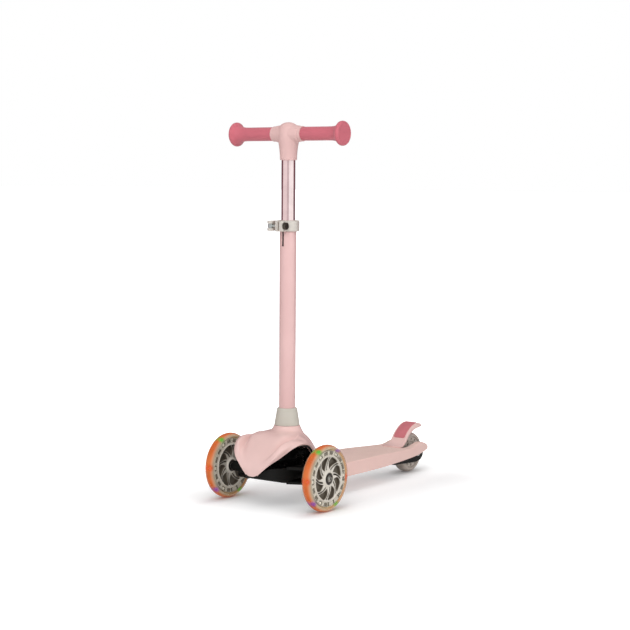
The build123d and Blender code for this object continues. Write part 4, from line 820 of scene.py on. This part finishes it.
def nose_sheet(name, rings, s0, s1, n_s, n_t, at):
    """Sheet of the nose net with a round opening for the stem."""
    n = 120
    flat = []
    for r in rings:
        for k in range(n):
            a = 2 * math.pi * k / n
            flat.append(nose_share(XS + r * math.cos(a), r * math.sin(a)))
    edge = [(k, (k + 1) % n) for k in range(n)]
    for i in range(n_s + 1):
        for j in range(n_t + 1):
            s, t = mix(s0, s1, i / n_s), -1 + 2 * j / n_t
            x, y, z = skin(s, t)
            if math.hypot(x - XS, y) > rings[-1] + 1.4:
                flat.append((s, t))
    coords = [Vector((s * 12.5, t * 66.0)) for s, t in flat]
    v2, e2, tri, _, _, _ = geometry.delaunay_2d_cdt(coords, edge, [], 0, 1e-6)
    verts = [at(v.x / 12.5, v.y / 66.0) for v in v2]
    faces = []
    for t3 in tri:
        q = [skin(v2[k].x / 12.5, v2[k].y / 66.0) for k in t3]
        cx, cy = sum(w[0] for w in q) / 3, sum(w[1] for w in q) / 3
        if math.hypot(cx - XS, cy) > rings[0] - 0.05:
            faces.append(list(t3))
    ob = build(name, verts, faces, 180.0)
    if sum(p.normal.z for p in ob.data.polygons) < 0:
        ob.data.flip_normals()
    return ob


RINGS = (21.5, 22.2, 22.9, 23.4, 23.8, 24.3, 24.9, 25.6, 26.5, 27.6, 28.9, 30.4, 32.2, 34.3, 36.8, 39.8)
nose = nose_sheet("nose_cover", RINGS, 0.0, 14.0, 154, 120, nose_at)
m = nose.modifiers.new("wall", "SOLIDIFY")
m.thickness = 3.0 * MM
m.offset = -1.0
m.use_even_offset = False
m.use_quality_normals = True
m = nose.modifiers.new("lip", "BEVEL")
m.width = 0.9 * MM
m.segments = 3
m.limit_method = "ANGLE"
m.angle_limit = math.radians(55)
settle(nose, 50.0)
wear(dress(nose, "nose_pink"), "steering_head", "pink_gloss", "nose_shell")


def under(s, t):
    """Point of the black liner under the nose."""
    p = Vector(skin(s, t))
    u = Vector(skin(min(s + 0.05, 14.0), t)) - Vector(skin(max(s - 0.05, 0.0), t))
    v = Vector(skin(s, min(t + 0.02, 1.0))) - Vector(skin(s, max(t - 0.02, -1.0)))
    return tuple(p - u.cross(v).normalized() * 4.5)


liner = nose_sheet("nose_lining", (38.2, 39.4), 2.5, 13.0, 84, 48, under)
m = liner.modifiers.new("wall", "SOLIDIFY")
m.thickness = 2.0 * MM
m.offset = -1.0
m.use_even_offset = False
settle(liner, 50.0)
wear(dress(liner, "black_plastic"), "steering_head", "black_plastic", "nose_liner")

# rib across the carrier behind the lean bolt
rib = plate(
    "carrier_rib",
    [rounded([(-38.0, 57.0), (38.0, 57.0), (38.0, 64.0), (24.0, 68.0), (19.5, 84.0), (14.0, 90.0),
              (-14.0, 90.0), (-19.5, 84.0), (-24.0, 68.0), (-38.0, 64.0)], [1.0, 1.0, 2.0, 3.0, 4.0, 4.0, 4.0, 4.0, 3.0, 2.0], 4)],
    2.0, 0.5, Matrix(((0, 0, 1, XF - 79.5), (1, 0, 0, 0.0), (0, 1, 0, 0.0), (0, 0, 0, 1))))
wear(dress(rib, "black_plastic"), "chassis", "black_plastic")

# lower cheeks of the rear fork
for side, label in ((1.0, "left"), (-1.0, "right")):
    cheek = plate(
        "fork_cheek_" + label,
        [rounded([(-330.0, 33.0), (-352.0, 26.4), (-382.0, 24.0), (-412.0, 22.2), (-434.0, 21.6), (-449.0, 24.2), (-457.0, 30.0),
                  (-459.2, 37.0), (-456.0, 43.0), (-446.0, 47.5), (-402.0, 47.5), (-340.0, 38.5)],
                 [1.0, 8.0, 12.0, 12.0, 12.0, 9.0, 7.0, 5.0, 5.0, 4.0, 4.0, 2.0], 5)],
        2.5, 0.6, Matrix(((1, 0, 0, XF), (0, 0, -1, side * 20.1), (0, 1, 0, 0.0), (0, 0, 0, 1))))
    wear(dress(cheek, "black_plastic"), "chassis", "black_plastic")


# ---------------------------------------------------------------------------
# front wheels
# ---------------------------------------------------------------------------
def polar_disc(name, radii, n, high, low, turn=None):
    """Closed moulded disc about the Y axis: two relief faces joined at bore and rim."""
    verts, faces = [], []
    for side, height in ((0, high), (1, low)):
        for r in radii:
            w = turn(r) if turn else 0.0
            for k in range(n):
                a = 2 * math.pi * k / n
                verts.append((r * math.cos(a + w), height(r, a), r * math.sin(a + w)))
    rings = len(radii)
    base = rings * n
    for i in range(rings - 1):
        for k in range(n):
            m = (k + 1) % n
            faces.append((i * n + k, i * n + m, (i + 1) * n + m, (i + 1) * n + k))
            faces.append((base + i * n + k, base + (i + 1) * n + k, base + (i + 1) * n + m, base + i * n + m))
    for i in (0, rings - 1):
        for k in range(n):
            m = (k + 1) % n
            faces.append((i * n + k, base + i * n + k, base + i * n + m, i * n + m))
    return build(name, verts, faces, 45.0)


SWEEP = math.radians(32.0)
half_width = table([(16.8, 0.3), (18.0, 1.2), (21.0, 4.2), (24.0, 7.2), (27.0, 10.0), (30.0, 12.4), (33.0, 13.9), (36.0, 14.6), (39.4, 14.4)])


def sweep_turn(r):
    """The blades trail backwards as seen from outside."""
    return SWEEP * (min(max(r, 13.0), 38.0) - 13.0) / 25.0


def window_depth(r, a):
    """Signed distance to the nearest opening, millimetres, negative inside."""
    best = 99.0
    pitch = math.pi / 4
    k = round(a / pitch)
    w = half_width(r)
    for i in (k - 1, k, k + 1):
        d = (a - i * pitch) * r
        side = max(-d - w * 0.42, d - w)
        ends = max(17.2 - r, r - 38.7)
        both = math.hypot(max(side + 2.6, 0), max(ends + 2.6, 0)) - 2.6 if r > 28 else max(side, ends)
        best = min(best, both)
    k = round((a - math.radians(7.0)) / pitch - 0.5)
    for i in (k - 1, k, k + 1):
        d = abs((a - (i + 0.5) * pitch - math.radians(7.0)) * r) - 1.5
        best = min(best, max(d, 16.4 - r, r - 38.0))
    return best


face_out = table([(11.0, 9.3), (11.4, 9.6), (12.6, 9.6), (13.4, 9.1), (14.4, 8.0), (15.6, 7.5), (26.0, 7.3), (38.2, 7.2), (38.9, 7.6), (39.3, 8.7), (39.7, 9.1), (40.5, 9.1), (40.9, 8.6), (41.3, 7.7), (41.95, 7.4)])
face_in = table([(11.0, 9.2), (11.6, 9.3), (12.3, 8.9), (13.2, 7.2), (14.6, 6.5), (16.4, 6.4), (26.0, 6.4), (36.4, 6.4), (37.4, 6.8), (38.1, 8.6), (38.6, 9.2), (40.2, 9.2), (40.7, 8.7), (41.2, 7.7), (41.95, 7.4)])


def hub_relief(sign):
    def height(r, a):
        d = window_depth(r, a % (2 * math.pi))
        h = mix(1.0, face_out(r) if sign > 0 else face_in(r), step(-0.45, 0.35, d))
        return sign * h
    return height


radii = [11.0, 11.2, 11.6]
r = 12.2
while r < 41.3:
    radii.append(r)
    r += 0.52
radii += [41.3, 41.7, 41.95]


def front_wheel(side, label):
    s = 1 if side == "left" else -1
    c = (XF, s * YW, Z_AXLE)
    place = Matrix.Translation(Vector(c) * MM)
    # seen from outside, rear is to the right on the left wheel
    flip = Matrix.Diagonal((-1.0, 1.0, 1.0, 1.0)) if s > 0 else Matrix.Diagonal((1.0, -1.0, 1.0, 1.0))
    disc = polar_disc(side + "_hub_disc", radii, 512, hub_relief(1), hub_relief(-1), lambda r: -sweep_turn(r))
    disc.data.transform(Matrix.Rotation(math.radians(-6.0), 4, "Y") @ flip)
    disc.data.flip_normals()
    # buried rim with its windows
    rim = [[(49.9 * math.cos(a), 49.9 * math.sin(a)) for a in [2 * math.pi * k / 144 for k in range(144)]]]
    rim.append([(41.6 * math.cos(a), 41.6 * math.sin(a)) for a in [2 * math.pi * k / 120 for k in range(120)]])
    for k in range(18):
        a = 2 * math.pi * k / 18
        box = rounded([(42.7, -5.1), (49.2, -5.8), (49.2, 5.8), (42.7, 5.1)], 0.9, 4)
        rim.append([(p * math.cos(a) - q * math.sin(a), p * math.sin(a) + q * math.cos(a)) for p, q in box])
    upright = Matrix(((1, 0, 0, 0), (0, 0, -1, 0), (0, 1, 0, 0), (0, 0, 0, 1)))
    core = plate(side + "_core", rim, 7.9, 0.5, upright, 2)
    web = plate(side + "_web", [[(49.4 * math.cos(a), 49.4 * math.sin(a)) for a in [2 * math.pi * k / 96 for k in range(96)]],
                                [(42.3 * math.cos(a), 42.3 * math.sin(a)) for a in [2 * math.pi * k / 96 for k in range(96)]]], 6.2, 0.2, upright, 1)
    dress(disc, "hub_grey")
    for part in (core, web):
        dress(part, "core_grey")
        part.location = Vector(c) * MM
    disc.location = Vector(c) * MM
    body = side + "_wheel"
    wear(disc, body, "warm_grey_hub", side + "_hub")
    wear(core, body, "warm_grey_hub")
    wear(web, body, "warm_grey_hub")
    # clear tyre and the lit ring cast into it
    tread = curve_line([(50.0, 12.0), (52.0, 11.7), (54.6, 10.6), (56.6, 8.9), (58.3, 6.4), (59.4, 3.6), (59.95, 1.2)], 5)
    half = [(42.05, 8.0), (42.05, 9.3), (42.4, 9.75), (45.4, 11.6), (46.6, 12.0)] + tread + [(60.0, 0.0)]
    loop = half + [(r, -h) for r, h in reversed(half[:-1])] + [(50.05, -8.0), (50.05, 8.0)]
    tyre = lathe(side + "_tyre_cast", loop, "y", (0, 0, 0), 160)
    dress(tyre, "tyre_clear")
    tyre.location = Vector(c) * MM
    wear(tyre, body, "clear_polyurethane", side + "_tyre")
    loop = rounded([(50.2, -3.2), (53.4, -4.8), (56.2, -7.6), (57.8, -6.4), (59.0, -3.6), (59.55, 0.0), (59.0, 3.6), (57.8, 6.4), (56.2, 7.6), (53.4, 4.8), (50.2, 3.2)], 1.2, 5)
    glow_ring = lathe(side + "_glow_ring", loop, "y", (0, 0, 0), 160)
    dress(glow_ring, "tyre_glow")
    glow_ring.location = Vector(c) * MM
    wear(glow_ring, body, "clear_polyurethane")
    # sealed bearings and the axle bolt
    halves = []
    for h in (1, -1):
        loop = rounded([(4.06, 2.6), (10.94, 2.6), (10.94, 9.45), (9.5, 9.45), (9.25, 8.9), (6.5, 8.9), (6.25, 9.45), (4.06, 9.45)], [0.2, 0.2, 0.35, 0.2, 0.1, 0.1, 0.2, 0.3], 3)
        halves.append(lathe("bearing", [(r, h * q) for r, q in loop], "y", (0, 0, 0), 72))
    bearing = join(side + "_bearing_pair", *halves)
    bearing.location = Vector(c) * MM
    wear(dress(bearing, "bearing_steel"), body, "bearing_steel", side + "_bearings")
    loop = [(0.0, -25.9), (3.6, -25.9), (3.9, -25.6), (3.9, 9.95)] + rounded(
        [(3.9, 9.95), (5.4, 9.95), (5.4, 10.6), (4.5, 10.9), (4.4, 11.6), (3.4, 12.6), (2.5, 12.8), (2.1, 12.4), (2.0, 10.6), (0.0, 10.4)],
        [0, 0.3, 0.3, 0.2, 1.0, 0.6, 0.2, 0.2, 0.2, 0], 3, closed=False)[1:]
    bolt = lathe(side + "_wheel_bolt", [(r, s * h) for r, h in loop], "y", (0, 0, 0), 72, closed=False)
    bolt.location = Vector(c) * MM
    wear(dress(bolt, "bolt_chrome"), side + "_knuckle", "zinc_steel", side + "_axle_bolt")


front_wheel("left", 1)
front_wheel("right", -1)

# ---------------------------------------------------------------------------
# rear wheel
# ---------------------------------------------------------------------------
rear_face = table([(11.0, 10.0), (11.4, 10.3), (13.6, 10.3), (14.4, 9.9), (15.6, 8.2), (16.4, 8.0), (20.4, 8.0), (21.2, 8.4), (22.2, 9.5), (23.0, 9.6), (29.4, 9.6), (29.9, 9.2)])


def rear_relief(sign):
    def height(r, a):
        d = 99.0
        for at, n, size in ((25.8, 12, 2.3), (18.3, 6, 2.4)):
            pitch = 2 * math.pi / n
            b = (a + pitch / 2) % pitch - pitch / 2
            d = min(d, math.hypot(r * math.cos(b) - at, r * math.sin(b)) - size)
        return sign * mix(0.8, rear_face(r), step(-0.45, 0.35, d))
    return height


radii = [11.0, 11.4, 12.0]
r = 12.6
while r < 29.3:
    radii.append(r)
    r += 0.5
radii += [29.4, 29.9]
disc = polar_disc("rear_hub_disc", radii, 360, rear_relief(1), rear_relief(-1))
disc.location = Vector((XR, 0, R_REAR)) * MM
wear(dress(disc, "rear_hub"), "rear_wheel", "warm_grey_hub", "rear_hub")
tread = curve_line([(31.5, 12.0), (33.6, 11.7), (35.9, 10.8), (37.6, 9.0), (38.8, 6.8), (39.6, 3.6), (40.0, 0.0)], 5)
half = [(30.0, 4.05), (30.0, 9.6), (30.3, 10.2)] + tread
loop = half + [(r, -h) for r, h in reversed(half[:-1])] + [(33.05, -4.05), (33.05, 4.05)]
tyre = lathe("rear_tyre_cast", loop, "y", (0, 0, 0), 128)
tyre.location = Vector((XR, 0, R_REAR)) * MM
wear(dress(tyre, "rear_pu"), "rear_wheel", "grey_polyurethane", "rear_tyre")

# ---------------------------------------------------------------------------
# brake fender and its tread pad
# ---------------------------------------------------------------------------
FENDER = (
    (-374.0, 58.6), (-381.0, 58.8), (-388.0, 60.0), (-393.5, 62.4), (-398.0, 65.9), (-402.5, 71.0), (-407.5, 77.2), (-413.0, 82.9),
    (-420.0, 88.2), (-429.0, 93.4), (-438.0, 96.8), (-446.0, 98.3), (-454.0, 97.4), (-461.0, 94.7), (-467.5, 90.4),
)
line = curve_line([(XF + x, z) for x, z in FENDER], 7)
total = [0.0]
for a, b in zip(line, line[1:]):
    total.append(total[-1] + math.dist(a, b))
reach = total[-1]
half_of = table([(0.0, 16.5), (1.2, 18.6), (3.0, 19.9), (7.0, 20.4), (13.0, 20.0), (19.0, 18.9), (25.0, 17.9), (31.0, 17.5), (60.0, 17.4), (reach - 16, 17.2), (reach - 7.0, 16.2), (reach - 2.0, 14.2), (reach, 12.4)])
skirt_of = table([(0.0, 0.6), (11.0, 0.7), (17.0, 2.2), (24.0, 4.4), (34.0, 5.4), (50.0, 6.2), (66.0, 8.0), (80.0, 9.4), (reach - 22, 9.6), (reach - 12, 7.4), (reach - 5, 4.4), (reach, 2.0)])


def frame_at(i):
    a, b = line[max(i - 1, 0)], line[min(i + 1, len(line) - 1)]
    t = Vector((b[0] - a[0], b[1] - a[1])).normalized()
    return Vector(line[i]), Vector((t.y, -t.x))


verts, faces, width = [], [], None
for i, d in enumerate(total):
    p, n = frame_at(i)
    if n.y < 0 and n.x < 0:
        n = -n
    w, k = half_of(d), skirt_of(d)
    corner = min(2.6, 0.8 * k + 0.4)
    section = [(-w, -k), (-w, -k * 0.55 - corner * 0.45), (-w, -corner)]
    for j in range(1, 6):
        a = math.radians(90 - 90 * j / 6)
        section.append((-w + corner - corner * math.sin(a), -corner + corner * math.cos(a)))
    for j in range(17):
        y = mix(-w + corner, w - corner, j / 16)
        section.append((y, 0.35 * (1 - (y / w) ** 2) - 0.3))
    section += [(-y, h) for y, h in reversed(section[:8])]
    width = len(section)
    for y, h in section:
        verts.append((p.x + n.x * h, y, p.y + n.y * h))
for i in range(len(total) - 1):
    for j in range(width - 1):
        faces.append((i * width + j, i * width + j + 1, (i + 1) * width + j + 1, (i + 1) * width + j))
fender = build("brake_fender", verts, faces, 180.0)
up = sum(p.normal.z for p in fender.data.polygons)
if up < 0:
    fender.data.flip_normals()
m = fender.modifiers.new("wall", "SOLIDIFY")
m.thickness = 1.9 * MM
m.offset = -1.0
m.use_quality_normals = True
m = fender.modifiers.new("lip", "BEVEL")
m.width = 0.6 * MM
m.segments = 3
m.limit_method = "ANGLE"
m.angle_limit = math.radians(50)
settle(fender, 48.0)
barrels = []
for y0, y1 in ((-16.8, -5.6), (5.6, 16.8)):
    loop = rounded([(2.5, y0), (4.6, y0), (4.6, y1), (2.5, y1)], 0.4, 2)
    barrels.append(lathe("barrel", loop, "y", (XF - 388.0, 0, 48.7), 48))
    leg = rounded([(-3.9, 3.2), (4.4, 3.2), (4.4, 9.0), (-4.4, 9.4)], [0.2, 0.2, 0.8, 0.8], 2)
    upright = Matrix(((1, 0, 0, XF - 388.0), (0, 0, -1, (y0 + y1) / 2), (0, 1, 0, 48.7), (0, 0, 0, 1)))
    barrels.append(plate("leg", [leg], (y1 - y0) / 2, 0.3, upright, 2))
fender = join("brake_fender", fender, *barrels)
wear(dress(shade(fender, 48.0), "nose_pink"), "brake", "pink_gloss", "fender_brake")

verts, faces = [], []
start = next(i for i, d in enumerate(total) if d > 33.0)
end = next(i for i, d in enumerate(total) if d > reach - 21.0)
ROWS, COLS = 72, 30
HALF = 13.2
length = total[end] - total[start]


def line_at(d):
    for i in range(len(total) - 1):
        if d <= total[i + 1]:
            t = (d - total[i]) / (total[i + 1] - total[i])
            pa, na = frame_at(i)
            pb, nb = frame_at(i + 1)
            return pa.lerp(pb, t), na.lerp(nb, t).normalized()
    return frame_at(len(total) - 1)


corner = 4.0
for i in range(ROWS + 1):
    d = total[start] + length * i / ROWS
    e = min(d - total[start], total[end] - d)
    w = HALF if e >= corner else HALF - corner + math.sqrt(max(corner ** 2 - (corner - e) ** 2, 0.0))
    p, n = line_at(d)
    if n.y < 0 and n.x < 0:
        n = -n
    for j in range(COLS + 1):
        y = mix(-w, w, j / COLS)
        inset = min(w - abs(y), e)
        h = 0.35 * (1 - (y / 17.4) ** 2) - 0.3 + 0.95 * math.sqrt(max(0.0, 1 - (1 - min(inset / 1.0, 1.0)) ** 2))
        verts.append((p.x + n.x * h, y, p.y + n.y * h))
n_top = len(verts)
for i in range(ROWS + 1):
    d = total[start] + length * i / ROWS
    p, n = line_at(d)
    if n.y < 0 and n.x < 0:
        n = -n
    for j in range(COLS + 1):
        q = verts[i * (COLS + 1) + j]
        verts.append((p.x - n.x * 0.6, q[1], p.y - n.y * 0.6))
C = COLS + 1
for i in range(ROWS):
    for j in range(COLS):
        a = i * C + j
        faces.append((a, a + 1, a + C + 1, a + C))
        a += n_top
        faces.append((a, a + C, a + C + 1, a + 1))
rim = [j for j in range(C)] + [i * C + COLS for i in range(1, ROWS + 1)] + [ROWS * C + j for j in range(COLS - 1, -1, -1)] + [i * C for i in range(ROWS - 1, 0, -1)]
for a, b in zip(rim, rim[1:] + rim[:1]):
    faces.append((a, b, b + n_top, a + n_top))
pad = build("brake_tread", verts, faces, 50.0)
wear(dress(pad, "rose_pad"), "brake", "rose_pad", "brake_pad")

# ---------------------------------------------------------------------------
# stage, light and camera
# ---------------------------------------------------------------------------
f = Finish("floor_white")
f.set(Base_Color=f.ramp(f.noise(1.5, 2.0), (0.3, (0.90, 0.90, 0.90, 1.0)), (0.7, (0.92, 0.92, 0.92, 1.0))), Roughness=0.7)
f.set(Specular_IOR_Level=0.1)
x, y, z = f.axes()


def beyond(half_x, half_y):
    """Distance outside an upright box around the middle."""
    dx = f.math("MAXIMUM", f.math("SUBTRACT", f.math("ABSOLUTE", x), half_x), 0.0)
    dy = f.math("MAXIMUM", f.math("SUBTRACT", f.math("ABSOLUTE", y), half_y), 0.0)
    return f.math("SQRT", f.math("ADD", f.math("MULTIPLY", dx, dx), f.math("MULTIPLY", dy, dy)))


# camera-only floor glow: full white far off; the second term is painted light that lifts the shadow under the deck
level = f.math("ADD", f.span(beyond(0.20, 0.09), 0.0, 0.36, 0.18, 1.0, smooth=True), f.span(beyond(0.24, 0.03), 0.0, 0.075, 0.16, 0.0, smooth=True))
# painted contact shadows: the glow drops where the three wheels touch the floor
for wx, wy, contact_shadow_reach in ((0.201, 0.1105, 0.060), (0.201, -0.1105, 0.060), (-0.233, 0.0, 0.045)):
    ex = f.math("DIVIDE", f.math("SUBTRACT", x, wx), contact_shadow_reach)
    ey = f.math("DIVIDE", f.math("SUBTRACT", y, wy), 0.020)
    e = f.math("SQRT", f.math("ADD", f.math("MULTIPLY", ex, ex), f.math("MULTIPLY", ey, ey)))
    level = f.math("MULTIPLY", level, f.span(e, 0.2, 1.8, 0.05, 1.0, smooth=True))
seen = f.add("LightPath").outputs["Is Camera Ray"]
f.set(Emission_Color=(1.0, 1.0, 1.0, 1.0), Emission_Strength=f.math("MULTIPLY", seen, level))
me = bpy.data.meshes.new("floor")
me.from_pydata([(-60, -60, 0), (60, -60, 0), (60, 60, 0), (-60, 60, 0)], [], [(0, 1, 2, 3)])
floor = new_object("floor", me)
floor.data.materials.append(f.mat)

world = bpy.data.worlds.new("studio")
bpy.context.scene.world = world
world.use_nodes = True
wt = world.node_tree
wt.nodes.clear()
w_out = wt.nodes.new("ShaderNodeOutputWorld")
seen = wt.nodes.new("ShaderNodeBackground")
seen.inputs[0].default_value = (1.0, 1.0, 1.0, 1.0)
seen.inputs[1].default_value = 1.0
lamp = wt.nodes.new("ShaderNodeBackground")
lamp.inputs[1].default_value = 0.50
ray = wt.nodes.new("ShaderNodeLightPath")
both = wt.nodes.new("ShaderNodeMixShader")
co = wt.nodes.new("ShaderNodeTexCoord")
sep = wt.nodes.new("ShaderNodeSeparateXYZ")
wt.links.new(co.outputs["Generated"], sep.inputs[0])
grade = wt.nodes.new("ShaderNodeValToRGB")
grade.color_ramp.elements[0].position = 0.0
grade.color_ramp.elements[0].color = (0.80, 0.80, 0.82, 1.0)
grade.color_ramp.elements[1].position = 0.8
grade.color_ramp.elements[1].color = (1.0, 1.0, 1.0, 1.0)
wt.links.new(sep.outputs[2], grade.inputs[0])
wt.links.new(grade.outputs[0], lamp.inputs[0])
wt.links.new(ray.outputs["Is Camera Ray"], both.inputs[0])
wt.links.new(lamp.outputs[0], both.inputs[1])
wt.links.new(seen.outputs[0], both.inputs[2])
wt.links.new(both.outputs[0], w_out.inputs[0])


def softbox(name, at, to, size, power, colour=(1, 1, 1)):
    la = bpy.data.lights.new(name, "AREA")
    la.shape = "RECTANGLE"
    la.size, la.size_y = size
    la.energy = power
    la.color = colour
    ob = new_object(name, la)
    ob.location = at
    ob.rotation_mode = "QUATERNION"
    ob.rotation_quaternion = (Vector(to) - Vector(at)).to_track_quat("-Z", "Y")
    ob.visible_glossy = False
    return ob


softbox("overhead", (0.3, 0.1, 2.6), (0.0, 0.0, 0.2), (2.6, 2.6), 11.0)
softbox("front_left", (2.1, 0.75, 1.7), (0.1, 0.0, 0.35), (1.4, 1.8), 25.5)
softbox("side", (0.3, 2.6, 1.2), (0.0, 0.0, 0.3), (1.4, 1.6), 17.0)


def reflected_card(name, middle, spread, radius, low, high, level):
    """Curved card that only mirror-like surfaces see."""
    n = 24
    verts, faces = [], []
    for k in range(n + 1):
        a = math.radians(middle - spread + 2 * spread * k / n)
        verts += [(0.168 + radius * math.cos(a), radius * math.sin(a), low), (0.168 + radius * math.cos(a), radius * math.sin(a), high)]
        if k:
            faces.append((2 * k - 2, 2 * k, 2 * k + 1, 2 * k - 1))
    me = bpy.data.meshes.new(name)
    me.from_pydata(verts, [], faces)
    ob = new_object(name, me)
    f = Finish(name)
    f.set(Base_Color=(0.0, 0.0, 0.0, 1.0), Roughness=1.0, Specular_IOR_Level=0.0)
    f.set(Emission_Color=f.ramp(f.noise(1.2), (0.3, times(level, 0.9)), (0.7, level)), Emission_Strength=1.0)
    me.materials.append(f.mat)
    for part in ("camera", "diffuse", "transmission", "shadow", "volume_scatter"):
        setattr(ob, "visible_" + part, False)
    return ob


FACING = 36.35
reflected_card("card_behind", FACING + 180.0, 82.0, 2.4, 0.02, 2.4, (0.18, 0.10, 0.125, 1.0))
reflected_card("card_left", FACING - 59.0, 38.0, 3.3, 0.02, 2.4, (0.90, 0.95, 0.98, 1.0))
reflected_card("card_middle", FACING - 5.0, 15.0, 3.3, 0.02, 2.4, (0.66, 0.66, 0.70, 1.0))
reflected_card("card_right", FACING + 54.0, 43.0, 3.3, 0.02, 2.4, (1.02, 1.25, 1.30, 1.0))

az, el, roll = math.radians(36.353), math.radians(4.753), math.radians(0.398)
back = Vector((math.cos(az) * math.cos(el), math.sin(az) * math.cos(el), math.sin(el)))
right = Vector((-math.sin(az), math.cos(az), 0.0))
up = back.cross(right)
right, up = right * math.cos(roll) + up * math.sin(roll), up * math.cos(roll) - right * math.sin(roll)
cd = bpy.data.cameras.new("camera")
cd.lens = 94.72
cd.sensor_width = 36.0
cd.clip_start, cd.clip_end = 0.05, 200.0
camera = new_object("camera", cd)
camera.matrix_world = Matrix.Translation((2.5524, 1.8166, 0.5918)) @ Matrix((right, up, back)).transposed().to_4x4()
scene = bpy.context.scene
scene.camera = camera
scene.view_settings.view_transform = "Standard"
scene.view_settings.look = "None"
scene.view_settings.exposure = 0.0
scene.view_settings.gamma = 1.0
